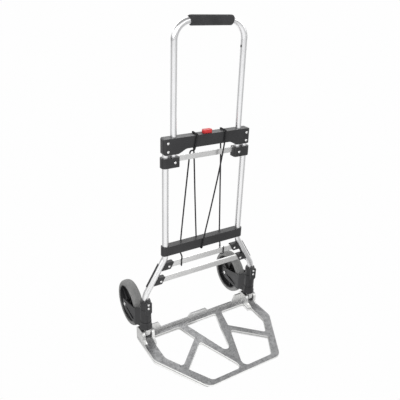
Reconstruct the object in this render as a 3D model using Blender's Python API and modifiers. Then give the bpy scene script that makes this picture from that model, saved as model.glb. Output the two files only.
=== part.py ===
"""Folding hand truck: telescoping handle, fold-up toe plate and wheels that swing in with it.

Every shape is built in coordinates of the leg plane: X to the right, Y backwards from the plane that
holds both leg tubes, Z up from the floor. One empty moves the whole truck so that its footprint is
centred on the origin.
"""

import math

import bmesh
import bpy
from mathutils import Matrix, Vector

# Driving dimensions, in metres.
LEG_X = 0.148
FOOT_X = 0.2248
LEG_RADIUS = 0.011
LEG_WALL = 0.0015
LEG_TOP = 0.7460
LEG_BOTTOM = 0.0665
SPLAY_TOP = 0.333
SPLAY_BOTTOM = 0.200
SPLAY_BEND = 0.045

HANDLE_X = 0.1207
HANDLE_RADIUS = 0.0102
HANDLE_WALL = 0.0014
HANDLE_TOP = 1.0857
HANDLE_BOTTOM = 0.6635
HANDLE_BEND = 0.056
GRIP_HALF_LENGTH = 0.0722
GRIP_RADIUS = 0.015
TRAVEL = 0.275

BEAM_TOP = 0.7525
BEAM_MIDDLE_BOTTOM = 0.7145
BEAM_END_BOTTOM = 0.7008
BEAM_HALF_WIDTH = 0.161
BEAM_HALF_DEPTH = 0.0155
PIN_Z = 0.736
PIN_RADIUS = 0.0035

LOWER_BAR = (0.3425, 0.3765)
LOWER_BAR_HALF_DEPTH = 0.0130
LOWER_BAR_HALF_WIDTH = 0.163
UPPER_CROSSBAR = (0.2880, 0.3095)
UPPER_CROSSBAR_HALF = 0.146
LOWER_CROSSBAR = (0.2360, 0.2575)
LOWER_CROSSBAR_HALF = 0.176
CROSSBAR_HALF_DEPTH = 0.004

SLIDER_LOW = 0.6577
SLIDER_HIGH = 0.6900
SLIDER_BAR = (0.672, 0.690)

WHEEL_RADIUS = 0.087
WHEEL_TRAIL = 0.131
TYRE_HALF_WIDTH = 0.0185
RIM_RADIUS = 0.067
CHEEK_INNER = 0.0215
CHEEK_OUTER = 0.0255
COLLAR_BOTTOM = 0.0655
COLLAR_TOP = 0.1495
COLLAR_RADIUS = 0.0195
SLEEVE_TOP = 0.183

PLATE_TOP = 0.018
PLATE_HALF_WIDTH = 0.248
PLATE_BACK = 0.0175
PLATE_REACH = 0.304
PLATE_WALL = 0.0035
PLATE_WEB = 0.0035
RIB_BOTTOM = 0.006
LIP_DEPTH = 0.038
LIP_THICKNESS = 0.006
HINGE_Y = -0.008
HINGE_Z = 0.046
HINGE_RADIUS = 0.003
EAR_GAP = 0.0125
EAR_INNER = 0.0232
EAR_OUTER = 0.0229

CORD_RADIUS = 0.0025
GAP = 0.0003

# The truck's footprint runs from the toe plate's front edge to the back of the wheels.
LEG_PLANE_Y = (PLATE_REACH - WHEEL_TRAIL - WHEEL_RADIUS) / 2

PLANES = {
    "XY": Matrix.Identity(4),
    "XZ": Matrix(((1, 0, 0, 0), (0, 0, -1, 0), (0, 1, 0, 0), (0, 0, 0, 1))),
    "YZ": Matrix(((0, 0, 1, 0), (1, 0, 0, 0), (0, 1, 0, 0), (0, 0, 0, 1))),
}
ALONG = {
    "X": Matrix.Rotation(math.pi / 2, 4, "Y"),
    "Y": Matrix.Rotation(math.pi / 2, 4, "X"),
    "Z": Matrix.Identity(4),
}


def clear_scene():
    for obj in list(bpy.data.objects):
        bpy.data.objects.remove(obj)


def new_collection(name):
    collection = bpy.data.collections.new(name)
    bpy.context.scene.collection.children.link(collection)
    return collection


def new_material(name, colour, roughness, metallic=0.0):
    material = bpy.data.materials.new(name)
    material.use_nodes = True
    shader = material.node_tree.nodes["Principled BSDF"]
    shader.inputs["Base Color"].default_value = (*colour, 1)
    shader.inputs["Roughness"].default_value = roughness
    shader.inputs["Metallic"].default_value = metallic
    return material


clear_scene()
PARTS = new_collection("hand_truck")
CUTTERS = new_collection("cutters")
ROOT = bpy.data.objects.new("truck", None)
ROOT.location = (0, LEG_PLANE_Y, 0)
PARTS.objects.link(ROOT)

TUBE = new_material("bright_anodised_tube", (0.86, 0.87, 0.88), 0.28, 1.0)
CAST = new_material("cast_aluminium", (0.50, 0.51, 0.52), 0.45, 1.0)
BLACK = new_material("black_moulding", (0.035, 0.035, 0.037), 0.5)
FOAM = new_material("foam_grip", (0.03, 0.03, 0.03), 0.9)
RED = new_material("red_button", (0.78, 0.06, 0.05), 0.4)
STEEL = new_material("bright_rivet", (0.80, 0.80, 0.80), 0.25, 1.0)
GREY = new_material("grey_tyre", (0.25, 0.25, 0.25), 0.75)
ELASTIC = new_material("black_elastic", (0.02, 0.02, 0.022), 0.85)


def move_to(obj, collection):
    for owner in list(obj.users_collection):
        owner.objects.unlink(obj)
    collection.objects.link(obj)
    obj.parent = ROOT


def as_part(obj, material, joint=None):
    """Puts a finished shape among the parts, under its joint's empty where it moves."""
    move_to(obj, PARTS)
    obj.data.materials.clear()
    obj.data.materials.append(material)
    obj.data.shade_smooth()
    obj.data.set_sharp_from_angle(angle=math.radians(35))
    if joint:
        obj.parent = joint
        obj.matrix_parent_inverse = Matrix.Translation(-joint_place(joint))
    return obj


def joint_place(joint):
    """The empty's place in leg plane coordinates."""
    place = joint.location.copy()
    if joint.parent is not ROOT:
        place += joint_place(joint.parent)
    return place


def new_joint(name, place, parent=None):
    empty = bpy.data.objects.new(name, None)
    empty.empty_display_size = 0.03
    PARTS.objects.link(empty)
    empty.parent = parent or ROOT
    empty.location = Vector(place) - (joint_place(parent) if parent else Vector())
    return empty


def from_bmesh(name, shape):
    mesh = bpy.data.meshes.new(name)
    shape.to_mesh(mesh)
    shape.free()
    obj = bpy.data.objects.new(name, mesh)
    move_to(obj, CUTTERS)
    return obj


def evaluated_mesh(obj):
    graph = bpy.context.evaluated_depsgraph_get()
    return bpy.data.meshes.new_from_object(obj.evaluated_get(graph), depsgraph=graph)


def curve_to_mesh(curve_object, matrix):
    """Turns a curve into a mesh object of the same name, with its caps welded."""
    bpy.context.scene.collection.objects.link(curve_object)
    mesh = evaluated_mesh(curve_object)
    name = curve_object.name
    curve_data = curve_object.data
    bpy.data.objects.remove(curve_object)
    bpy.data.curves.remove(curve_data)
    shape = bmesh.new()
    shape.from_mesh(mesh)
    bpy.data.meshes.remove(mesh)
    bmesh.ops.remove_doubles(shape, verts=shape.verts, dist=1e-6)
    bmesh.ops.dissolve_limit(shape, angle_limit=1e-4, verts=shape.verts, edges=shape.edges)
    bmesh.ops.transform(shape, matrix=matrix, verts=shape.verts)
    bmesh.ops.recalc_face_normals(shape, faces=shape.faces)
    return from_bmesh(name, shape)


def new_spline(curve, points, closed):
    spline = curve.splines.new("POLY")
    spline.points.add(len(points) - 1)
    for target, point in zip(spline.points, points):
        target.co = (*point, *(0,) * (3 - len(point)), 1)
    spline.use_cyclic_u = closed


def flat(name, outlines, low, high, plane="XY"):
    """A flat solid: closed outlines, filled in a plane, with a thickness from low to high."""
    curve = bpy.data.curves.new(name, "CURVE")
    curve.dimensions = "2D"
    curve.fill_mode = "BOTH"
    curve.extrude = (high - low) / 2
    for outline in outlines:
        new_spline(curve, outline, True)
    middle = (low + high) / 2
    shift = Matrix.Translation((0, 0, -middle if plane == "XZ" else middle))
    return curve_to_mesh(bpy.data.objects.new(name, curve), PLANES[plane] @ shift)


def rod(name, points, radius, resolution=6, capped=True):
    """A round bar along a path; bevel resolution 6 gives 16 sides."""
    curve = bpy.data.curves.new(name, "CURVE")
    curve.dimensions = "3D"
    curve.bevel_depth = radius
    curve.bevel_resolution = resolution
    curve.use_fill_caps = capped
    new_spline(curve, points, False)
    return curve_to_mesh(bpy.data.objects.new(name, curve), Matrix.Identity(4))


def tube(name, points, radius, wall, resolution=6):
    """A hollow tube: an open skin with an inward Solidify."""
    obj = rod(name, points, radius, resolution, capped=False)
    solidify = obj.modifiers.new("wall", "SOLIDIFY")
    solidify.thickness = wall
    solidify.offset = -1
    return obj


def box(name, low, high, bevel=0.0):
    shape = bmesh.new()
    bmesh.ops.create_cube(shape, size=1)
    size = [b - a for a, b in zip(low, high)]
    middle = [(a + b) / 2 for a, b in zip(low, high)]
    bmesh.ops.scale(shape, vec=size, verts=shape.verts)
    bmesh.ops.translate(shape, vec=middle, verts=shape.verts)
    obj = from_bmesh(name, shape)
    if bevel:
        add_bevel(obj, bevel)
    return obj


def cylinder(name, place, radius, low, high, axis, sides=16):
    """A solid cylinder through place, from low to high along the world axis named.

    It is turned a little round its own axis, so that its edges never lie on a crossing tube's.
    """
    shape = bmesh.new()
    bmesh.ops.create_cone(
        shape, cap_ends=True, segments=sides, radius1=radius, radius2=radius, depth=high - low
    )
    bmesh.ops.rotate(shape, matrix=Matrix.Rotation(0.11, 3, "Z"), verts=shape.verts)
    bmesh.ops.rotate(shape, matrix=ALONG[axis].to_3x3(), verts=shape.verts)
    centre = Vector(place)
    centre["XYZ".index(axis)] = (low + high) / 2
    bmesh.ops.translate(shape, vec=centre, verts=shape.verts)
    return from_bmesh(name, shape)


def turned(name, profile, place, axis="Z", steps=24, closed=False):
    """A turned shape: (radius, height) points down its outer side, swept round the axis at place."""
    mesh = bpy.data.meshes.new(name)
    edges = [(i, i + 1) for i in range(len(profile) - 1)]
    if closed:
        edges.append((len(profile) - 1, 0))
    mesh.from_pydata([(r, 0, h) for r, h in profile], edges, [])
    obj = bpy.data.objects.new(name, mesh)
    move_to(obj, CUTTERS)
    screw = obj.modifiers.new("turn", "SCREW")
    screw.steps = steps
    screw.render_steps = steps
    screw.use_merge_vertices = True
    screw.merge_threshold = 1e-5
    finished = evaluated_mesh(obj)
    bpy.data.objects.remove(obj)
    shape = bmesh.new()
    shape.from_mesh(finished)
    bpy.data.meshes.remove(finished)
    bmesh.ops.remove_doubles(shape, verts=shape.verts, dist=1e-6)
    bmesh.ops.transform(shape, matrix=Matrix.Translation(place) @ ALONG[axis], verts=shape.verts)
    bmesh.ops.recalc_face_normals(shape, faces=shape.faces)
    return from_bmesh(name, shape)


def add_bevel(obj, width, segments=2):
    bevel = obj.modifiers.new("soft_edges", "BEVEL")
    bevel.width = width
    bevel.segments = segments
    bevel.limit_method = "ANGLE"
    bevel.angle_limit = math.radians(40)


def combine(obj, other, operation):
    modifier = obj.modifiers.new(other.name, "BOOLEAN")
    modifier.operation = operation
    modifier.object = other
    other.hide_render = True
    other.display_type = "WIRE"
    return obj


def cut(obj, *cutters):
    for cutter in cutters:
        combine(obj, cutter, "DIFFERENCE")
    return obj


def join(obj, *others):
    for other in others:
        combine(obj, other, "UNION")
    return obj


def mirrored(obj, name):
    """The same piece on the other side of the truck."""
    bpy.context.view_layer.update()
    shape = bmesh.new()
    mesh = evaluated_mesh(obj)
    shape.from_mesh(mesh)
    bpy.data.meshes.remove(mesh)
    bmesh.ops.scale(shape, vec=(-1, 1, 1), verts=shape.verts)
    bmesh.ops.reverse_faces(shape, faces=shape.faces)
    return from_bmesh(name, shape)


def arc_points(start, corner, end, radius, steps_per_quarter):
    """The points that round one corner of a path with an arc, or the corner itself if radius is 0."""
    before = (Vector(start) - Vector(corner)).normalized()
    after = (Vector(end) - Vector(corner)).normalized()
    if radius <= 0:
        return [Vector(corner)]
    between = before.angle(after)
    centre = Vector(corner) + (before + after).normalized() * radius / math.sin(between / 2)
    reach = radius / math.tan(between / 2)
    first = Vector(corner) + before * reach - centre
    last = Vector(corner) + after * reach - centre
    turn = math.pi - between
    steps = max(2, round(turn / (math.pi / 2) * steps_per_quarter))
    points = []
    for i in range(steps + 1):
        share = i / steps
        a = math.sin((1 - share) * turn) / math.sin(turn)
        b = math.sin(share * turn) / math.sin(turn)
        points.append(centre + first * a + last * b)
    return points


def rounded(corners, closed=True, steps=3):
    """Points along straight runs between (x, y, radius) or (x, y, z, radius) corners, rounded."""
    places = [corner[:-1] for corner in corners]
    points = []
    for i, corner in enumerate(corners):
        at_end = not closed and i in (0, len(corners) - 1)
        radius = 0 if at_end else corner[-1]
        start = places[i - 1]
        end = places[(i + 1) % len(places)]
        points += [tuple(p) for p in arc_points(start, places[i], end, radius, steps)]
    return points


def both_sides(half):
    """A closed outline symmetric in x, from its right half's corners listed top to bottom."""
    return half + [(-corner[0], *corner[1:]) for corner in reversed(half)]


def sides():
    return (("right", 1), ("left", -1))


def leg_path(side=1, low=LEG_BOTTOM, high=LEG_TOP):
    corners = [
        (side * LEG_X, 0, high, 0),
        (side * LEG_X, 0, SPLAY_TOP, SPLAY_BEND),
        (side * FOOT_X, 0, SPLAY_BOTTOM, SPLAY_BEND),
        (side * FOOT_X, 0, low, 0),
    ]
    return rounded(corners, closed=False, steps=7)


def leg_bore(name, side=1, low=-0.05, high=LEG_TOP + 0.002):
    """A cutter along the leg's path, with a gap round the tube."""
    return rod(name, leg_path(side, low, high), LEG_RADIUS + GAP)


RIVET_SHANK = 0.0019
RIVET_HOLE = RIVET_SHANK + GAP


def rivet(name, x, z, front, back, joint=None):
    """A rivet along Y, its domed head in front of front and its flared tail behind back."""
    head = front - GAP
    tail = back + GAP
    profile = [
        (0, -head + 0.0022),
        (0.0028, -head + 0.0017),
        (0.0044, -head),
        (RIVET_SHANK, -head),
        (RIVET_SHANK, -tail),
        (0.0033, -tail),
        (0, -tail - 0.0012),
    ]
    return as_part(turned(name, profile, (x, 0, z), "Y", 8), STEEL, joint)


def rivet_hole(name, x, z):
    return cylinder(name + "_hole", (x, 0, z), RIVET_HOLE, -0.03, 0.03, "Y", 10)


# Frame ------------------------------------------------------------------------------------------

BEAM_RIVETS = {"upper": (0.1455, 0.7385), "lower": (0.1455, 0.7115)}
SLEEVE_RIVETS = {"upper": (0.2236, 0.175), "lower": (0.2236, 0.160)}
BRACKET_RIVETS = {"upper": (0.136, 0.2955), "lower": (0.167, 0.2435)}
LOWER_SCREW = (0.148, 0.3595)
SLEEVE_PAD_FRONT = -0.0240
EAR_HALF_DEPTH = 0.0078


def make_legs():
    leg = tube("leg_tube_right", leg_path(), LEG_RADIUS, LEG_WALL)
    for where, (x, z) in {**BEAM_RIVETS, **{w + "_s": p for w, p in SLEEVE_RIVETS.items()}}.items():
        cut(leg, rivet_hole("leg_" + where, x, z))
    cut(leg, cylinder("leg_screw_hole", (*LOWER_SCREW[:1], 0, LOWER_SCREW[1]), 0.0018, 0.004, 0.02, "Y", 10))
    as_part(mirrored(leg, "leg_tube_left"), TUBE)
    as_part(leg, TUBE)


def beam_outline():
    right = [
        (BEAM_HALF_WIDTH, BEAM_TOP, 0.008),
        (BEAM_HALF_WIDTH, BEAM_END_BOTTOM, 0.009),
        (0.108, BEAM_END_BOTTOM, 0.014),
        (0.082, BEAM_MIDDLE_BOTTOM, 0.020),
    ]
    return rounded(both_sides(right))


def beam_cutters():
    """The hollow for the lock, the button's opening, and the bores for tubes, pins and rivets."""
    cutters = [
        box("lock_hollow", (-0.1055, -0.0125, 0.7185), (0.1055, 0.0125, 0.7487)),
        box("button_opening", (-0.0159, -0.0089, 0.743), (0.0159, 0.0089, 0.760)),
    ]
    for side in (1, -1):
        x = side * HANDLE_X
        cutters.append(cylinder("handle_bore", (x, 0, 0), HANDLE_RADIUS + 0.0004, 0.68, 0.78, "Z", 24))
        cutters.append(leg_bore("leg_socket", side))
        inner, outer = sorted((side * 0.100, side * HANDLE_X))
        cutters.append(cylinder("pin_bore", (0, 0, PIN_Z), PIN_RADIUS + 0.0004, inner, outer, "X", 12))
        for x, z in BEAM_RIVETS.values():
            cutters.append(rivet_hole("beam", side * x, z))
    return cutters


def make_beam():
    cutters = beam_cutters()
    half = BEAM_HALF_DEPTH
    for name, low, high in (("beam_front_cover", -half, -GAP / 2), ("beam_rear_cover", GAP / 2, half)):
        cover = flat(name, [beam_outline()], -half, half, "XZ")
        add_bevel(cover, 0.003)
        other = (high, 0.03) if low < -GAP else (-0.03, low)
        cut(cover, box(name + "_split", (-0.2, other[0], 0.6), (0.2, other[1], 0.8)))
        as_part(cut(cover, *cutters), BLACK)
    for name, side in sides():
        for where, (x, z) in BEAM_RIVETS.items():
            rivet(f"beam_rivet_{name}_{where}", side * x, z, -half, half)


def make_lower_bar():
    half = LOWER_BAR_HALF_DEPTH
    width = LOWER_BAR_HALF_WIDTH
    corners = ((width, half), (width, -half), (-width, -half), (-width, half))
    plan = rounded([(*corner, 0.012) for corner in corners])
    bar = flat("lower_bar", [plan], *LOWER_BAR)
    add_bevel(bar, 0.0025)
    inside = half - 0.003
    low, high = LOWER_BAR
    cut(bar, box("bar_hollow", (-0.128, -inside, low - 0.01), (0.128, inside, high - 0.003)))
    for name, side in sides():
        cut(bar, leg_bore("bar_bore", side))
        x, z = side * LOWER_SCREW[0], LOWER_SCREW[1]
        cut(bar, cylinder("bar_screw_hole", (x, 0, z), 0.0018, 0.004, 0.02, "Y", 10))
        head = half + GAP
        profile = [(0, head + 0.0022), (0.0024, head + 0.0020), (0.0034, head), (0.0015, head)]
        profile += [(0.0015, 0.0085), (0, 0.0075)]
        screw = turned(f"lower_bar_screw_{name}", [(r, -h) for r, h in reversed(profile)], (x, 0, z), "Y", 10)
        as_part(screw, STEEL)
    as_part(bar, BLACK)


def make_crossbar(name, half_length, heights, rivet_place):
    low, high = heights
    depth = CROSSBAR_HALF_DEPTH
    wall = 0.0015
    bar = box(name, (-half_length, -depth, low), (half_length, depth, high), 0.0012)
    cut(bar, box(name + "_inside", (-0.3, wall - depth, low + wall), (0.3, depth - wall, high - wall)))
    for side in (1, -1):
        cut(bar, rivet_hole(name, side * rivet_place[0], rivet_place[1]))
    as_part(bar, TUBE)


def make_brackets():
    """A saddle behind the splayed stretch of the leg, with two ears that take the crossbars' ends."""
    slope = (FOOT_X - LEG_X) / (SPLAY_TOP - SPLAY_BOTTOM)
    ends = [(LEG_X + (SPLAY_TOP - z) * slope, 0, z) for z in (0.3045, 0.2275)]
    bracket = rod("leg_bracket_right", ends, LEG_RADIUS + 0.0026)
    cut(bracket, box("saddle_front", (0, -0.05, 0.1), (0.4, -0.001, 0.4)))
    upper = [(0.116, 0.3125, 0.004), (0.155, 0.3125, 0.001), (0.170, 0.285, 0.001), (0.1305, 0.285, 0.004)]
    lower = [(0.149, 0.2605, 0.004), (0.185, 0.2605, 0.001), (0.200, 0.233, 0.001), (0.164, 0.233, 0.004)]
    half = EAR_HALF_DEPTH
    join(bracket, flat("upper_ear", [rounded(upper)], -half, half, "XZ"))
    join(bracket, flat("lower_ear", [rounded(lower)], -half, half, "XZ"))
    cut(bracket, leg_bore("bracket_bore"))
    depth = CROSSBAR_HALF_DEPTH + GAP
    for name, length, (low, high) in (
        ("upper_pocket", UPPER_CROSSBAR_HALF, UPPER_CROSSBAR),
        ("lower_pocket", LOWER_CROSSBAR_HALF, LOWER_CROSSBAR),
    ):
        cut(bracket, box(name, (0, -depth, low - GAP), (length + GAP, depth, high + GAP)))
    for where, (x, z) in BRACKET_RIVETS.items():
        cut(bracket, rivet_hole("bracket_" + where, x, z))
        for name, side in sides():
            rivet(f"bracket_rivet_{name}_{where}", side * x, z, -half, half)
    as_part(mirrored(bracket, "leg_bracket_left"), BLACK)
    as_part(bracket, BLACK)


def make_sleeves():
    """The fixed sleeve above each fork collar, with a pad that reaches down in front of the collar."""
    low = COLLAR_TOP + 0.0006
    profile = [
        (0.0128, SLEEVE_TOP),
        (0.0165, SLEEVE_TOP),
        (0.0188, SLEEVE_TOP - 0.006),
        (0.0188, low),
        (0.0128, low),
    ]
    sleeve = turned("leg_sleeve_right", profile, (FOOT_X, 0, 0), steps=20, closed=True)
    x = SLEEVE_RIVETS["upper"][0]
    pad = [(x - 0.0125, 0.184, 0.005), (x - 0.0125, 0.140, 0.004), (x - 0.006, 0.133, 0.003)]
    pad += [(x + 0.006, 0.133, 0.003), (x + 0.0125, 0.140, 0.004), (x + 0.0125, 0.184, 0.005)]
    join(sleeve, flat("pad", [rounded(pad)], SLEEVE_PAD_FRONT, -COLLAR_RADIUS - 0.0006, "XZ"))
    join(sleeve, box("pad_root", (x - 0.0105, -0.0220, low + 0.0002), (x + 0.0105, -0.0120, 0.181)))
    join(sleeve, cylinder("sleeve_liner", (FOOT_X, 0, 0), 0.0140, low + 0.0001, SLEEVE_TOP - 0.0005, "Z", 24))
    cut(sleeve, cylinder("sleeve_bore", (FOOT_X, 0, 0), LEG_RADIUS + GAP, 0.1, 0.2, "Z", 24))
    for where, (x, z) in SLEEVE_RIVETS.items():
        cut(sleeve, rivet_hole("sleeve_" + where, x, z))
        for name, side in sides():
            rivet(f"sleeve_rivet_{name}_{where}", side * x, z, SLEEVE_PAD_FRONT, 0.0190)
    as_part(mirrored(sleeve, "leg_sleeve_left"), BLACK)
    as_part(sleeve, BLACK)


def make_feet():
    """The cast tongue in each leg's end: a shank in the tube, a block below it, an eye for the hinge."""
    top = COLLAR_BOTTOM - 0.0008
    eye = 0.0112
    outline = [
        (HINGE_Y - eye, top, 0.001),
        (HINGE_Y - eye, HINGE_Z - eye, eye - 0.0004),
        (HINGE_Y + eye, HINGE_Z - eye, eye - 0.0004),
        (0.0160, top, 0.001),
    ]
    foot = flat("foot_right", [rounded(outline, steps=5)], FOOT_X - 0.0095, FOOT_X + 0.0095, "YZ")
    trapezoid = ((-0.0096, 0.0660), (0.0096, 0.0660), (0.0060, 0.0330), (-0.0060, 0.0330))
    taper = [(FOOT_X + x, z) for x, z in trapezoid]
    combine(foot, flat("foot_taper", [taper], -0.05, 0.05, "XZ"), "INTERSECT")
    shank = cylinder("shank", (FOOT_X, 0, 0), LEG_RADIUS - LEG_WALL - 0.0004, top - 0.004, 0.105, "Z", 16)
    join(foot, shank)
    cut(foot, cylinder("foot_bore", (0, HINGE_Y, HINGE_Z), HINGE_RADIUS + 0.0004, 0.2, 0.25, "X", 12))
    as_part(mirrored(foot, "foot_left"), CAST)
    as_part(foot, CAST)


# Cord -------------------------------------------------------------------------------------------

CORD_OUT = BEAM_HALF_DEPTH + 0.0032
CORD_BY_BAR = LOWER_BAR_HALF_DEPTH + 0.0032
HOOK_OUT = 0.0066
HOOK_END = {"left": (-0.0868, -HOOK_OUT), "right": (0.0790, HOOK_OUT)}
HOOK_TIP_X = {"left": -0.0840, "right": 0.0875}


def round_the_beam(x, drift, z, near, turn, forward):
    """Five points over or under a crosspiece at height z, from one face to the other."""
    inner = near - 0.0010
    steps = [(-near, 0.0010), (-inner, -0.0022), (0, -0.0030), (inner, -0.0022), (near, 0.0010)]
    if not forward:
        steps = [(-y, dz) for y, dz in steps]
    return [(x + drift * i, y, z - turn * dz) for i, (y, dz) in enumerate(steps)]


def cord_route():
    """The elastic cord from the left hook, up, over, down, under, up, over and down to the right."""
    beam = BEAM_TOP
    bar = LOWER_BAR[0]
    route = [
        (*HOOK_END["left"], 0.3170),
        (*HOOK_END["left"], 0.3210),
        (-0.0860, 0.0060, 0.3310),
        (-0.0840, 0.0145, 0.3375),
        (-0.0812, CORD_BY_BAR, 0.3500),
        (-0.0795, CORD_BY_BAR, 0.3800),
        (-0.0700, 0.0120, 0.5200),
        (-0.0600, 0.0070, 0.6600),
        (-0.0580, 0.0060, 0.6860),
        (-0.0568, 0.0036, 0.6965),
        (-0.0555, -0.0045, 0.7015),
        (-0.0540, -0.0150, 0.7065),
        (-0.0525, -CORD_OUT - 0.0002, 0.7170),
    ]
    route += round_the_beam(-0.0460, 0.0012, beam, CORD_OUT, 1, True)
    route += [(-0.0385, CORD_OUT, 0.7200), (-0.0362, 0.0165, 0.6850), (-0.0280, 0.0155, 0.5300)]
    route += [(-0.0185, CORD_BY_BAR, 0.3800)]
    route += round_the_beam(-0.0160, 0.0010, bar, CORD_BY_BAR, -1, False)
    route += [(-0.0060, -CORD_BY_BAR, 0.3800), (0.0200, -0.0155, 0.5000), (0.0450, -0.0165, 0.6300)]
    route += [(0.0575, -CORD_OUT, 0.7200)]
    route += round_the_beam(0.0600, 0.0010, beam, CORD_OUT, 1, True)
    route += [
        (0.0655, CORD_OUT, 0.7200),
        (0.0670, 0.0165, 0.6850),
        (0.0730, 0.0155, 0.5300),
        (0.0795, CORD_BY_BAR, 0.3800),
        (0.0802, CORD_BY_BAR, 0.3500),
        (0.0796, 0.0145, 0.3375),
        (0.0792, 0.0090, 0.3280),
        (*HOOK_END["right"], 0.3210),
        (*HOOK_END["right"], 0.3170),
    ]
    return route


def smooth_path(route, steps=2):
    """A centripetal Catmull-Rom curve through the route's points, with fewer points on long runs."""
    points = [Vector(p) for p in route]
    ends = [2 * points[0] - points[1]] + points + [2 * points[-1] - points[-2]]
    result = []
    for a, b, c, d in zip(ends, ends[1:], ends[2:], ends[3:]):
        count = 3 if (c - b).length > 0.05 else steps
        knots = [0.0]
        for p, q in ((a, b), (b, c), (c, d)):
            knots.append(knots[-1] + math.sqrt((q - p).length))
        for i in range(count):
            t = knots[1] + (knots[2] - knots[1]) * i / count
            level = [a, b, c, d]
            for degree in (1, 2, 3):
                level = blend_level(level, knots, t, degree)
            result.append(level[0])
    return [tuple(p) for p in result] + [tuple(points[-1])]


def blend_level(level, knots, t, degree):
    """One level of Neville's scheme for a Catmull-Rom segment between knots 1 and 2."""
    blended = []
    for i in range(len(level) - 1):
        low = knots[i] if degree < 3 else knots[1]
        high = knots[i + degree] if degree < 3 else knots[2]
        if degree == 2:
            low, high = knots[i], knots[i + 2]
        share = (t - low) / (high - low)
        blended.append(level[i] * (1 - share) + level[i + 1] * share)
    return blended


def make_cord():
    as_part(rod("bungee_cord", smooth_path(cord_route()), CORD_RADIUS, resolution=2), ELASTIC)
    for name, (x, y) in HOOK_END.items():
        tip_x = HOOK_TIP_X[name]
        low = UPPER_CROSSBAR[0] - HOOK_OUT
        bend = HOOK_OUT - 0.0006
        path = [(x, y, 0.3160, 0), (x, y, low, bend), (tip_x, -y, low, bend), (tip_x, -y, 0.3020, 0)]
        hook = rod(f"bungee_hook_{name}", rounded(path, closed=False), 0.0017, resolution=2)
        join(hook, cylinder("ferrule", (x, y, 0), 0.0032, 0.3102, 0.3160, "Z", 12))
        as_part(hook, STEEL)


# Handle -----------------------------------------------------------------------------------------


HANDLE_BEND_STEPS = 6


def make_handle(joint):
    corners = [
        (HANDLE_X, 0, HANDLE_BOTTOM, 0),
        (HANDLE_X, 0, HANDLE_TOP, HANDLE_BEND),
        (-HANDLE_X, 0, HANDLE_TOP, HANDLE_BEND),
        (-HANDLE_X, 0, HANDLE_BOTTOM, 0),
    ]
    path = rounded(corners, closed=False, steps=HANDLE_BEND_STEPS)
    handle = tube("handle_tube", path, HANDLE_RADIUS, HANDLE_WALL)
    for side in (1, -1):
        inner, outer = sorted((side * 0.100, side * HANDLE_X))
        for z in (PIN_Z, PIN_Z + TRAVEL):
            cut(handle, cylinder("lock_hole", (0, 0, z), PIN_RADIUS + 0.0007, inner, outer, "X", 12))
        cut(handle, rivet_hole("handle", side * HANDLE_X, SLIDER_RIVET_Z))
    as_part(handle, TUBE, joint)
    make_grip(joint)


def make_grip(joint):
    """The foam sleeve, whose ends reach a little way into the tube's two bends."""
    bend_start = HANDLE_X - HANDLE_BEND
    into_bend = GRIP_HALF_LENGTH - bend_start
    drop = into_bend * math.tan(math.radians(90 / HANDLE_BEND_STEPS / 2))
    half = [(GRIP_HALF_LENGTH, 0, HANDLE_TOP - drop), (bend_start, 0, HANDLE_TOP)]
    path = half + [(-x, y, z) for x, y, z in reversed(half)]
    grip = tube("handle_grip", path, GRIP_RADIUS, GRIP_RADIUS - HANDLE_RADIUS - GAP, resolution=10)
    add_bevel(grip, 0.0018)
    as_part(grip, FOAM, joint)


SLIDER_RIVET_Z = 0.6740
SLIDER_BAR_HALF = 0.1082


def make_sliders(joint):
    """The blocks on the handle's ends, which glide on the leg tubes, and the flat bar between them."""
    half = BEAM_HALF_DEPTH
    plan = rounded([(0.164, half, 0.012), (0.164, -half, 0.012), (0.103, -half, 0.007), (0.103, half, 0.007)])
    slider = flat("slider_right", [plan], SLIDER_LOW, SLIDER_HIGH)
    add_bevel(slider, 0.0015)
    socket = HANDLE_RADIUS + GAP
    cut(slider, cylinder("slider_bore", (LEG_X, 0, 0), LEG_RADIUS + 0.0004, 0.6, 0.7, "Z", 24))
    cut(slider, cylinder("handle_socket", (HANDLE_X, 0, 0), socket, HANDLE_BOTTOM - GAP, 0.7, "Z", 24))
    cut(slider, box("bar_slot", (0.09, -0.0019, SLIDER_BAR[0] - GAP), (SLIDER_BAR_HALF + GAP, 0.0019, 0.7)))
    cut(slider, rivet_hole("slider", HANDLE_X, SLIDER_RIVET_Z))
    as_part(mirrored(slider, "slider_left"), BLACK, joint)
    as_part(slider, BLACK, joint)
    low, high = SLIDER_BAR
    bar = box("slider_bar", (-SLIDER_BAR_HALF, -0.0016, low), (SLIDER_BAR_HALF, 0.0016, high), 0.0006)
    as_part(bar, TUBE, joint)
    for name, side in sides():
        rivet(f"slider_rivet_{name}", side * HANDLE_X, SLIDER_RIVET_Z, -half, half, joint)


# Lock -------------------------------------------------------------------------------------------

PEG_START = (0.0145, 0.7315)
BUTTON_TRAVEL = 0.006
PIN_TRAVEL = 0.005
PEG_RADIUS = 0.0018


def capsule(start, end, radius, steps=4):
    """The outline of a slot between two points."""
    along = (Vector(end) - Vector(start)).normalized()
    heading = math.atan2(along.y, along.x)
    points = []
    for centre, first in ((end, heading - math.pi / 2), (start, heading + math.pi / 2)):
        for i in range(steps + 1):
            angle = first + math.pi * i / steps
            points.append((centre[0] + radius * math.cos(angle), centre[1] + radius * math.sin(angle)))
    return points


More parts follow.
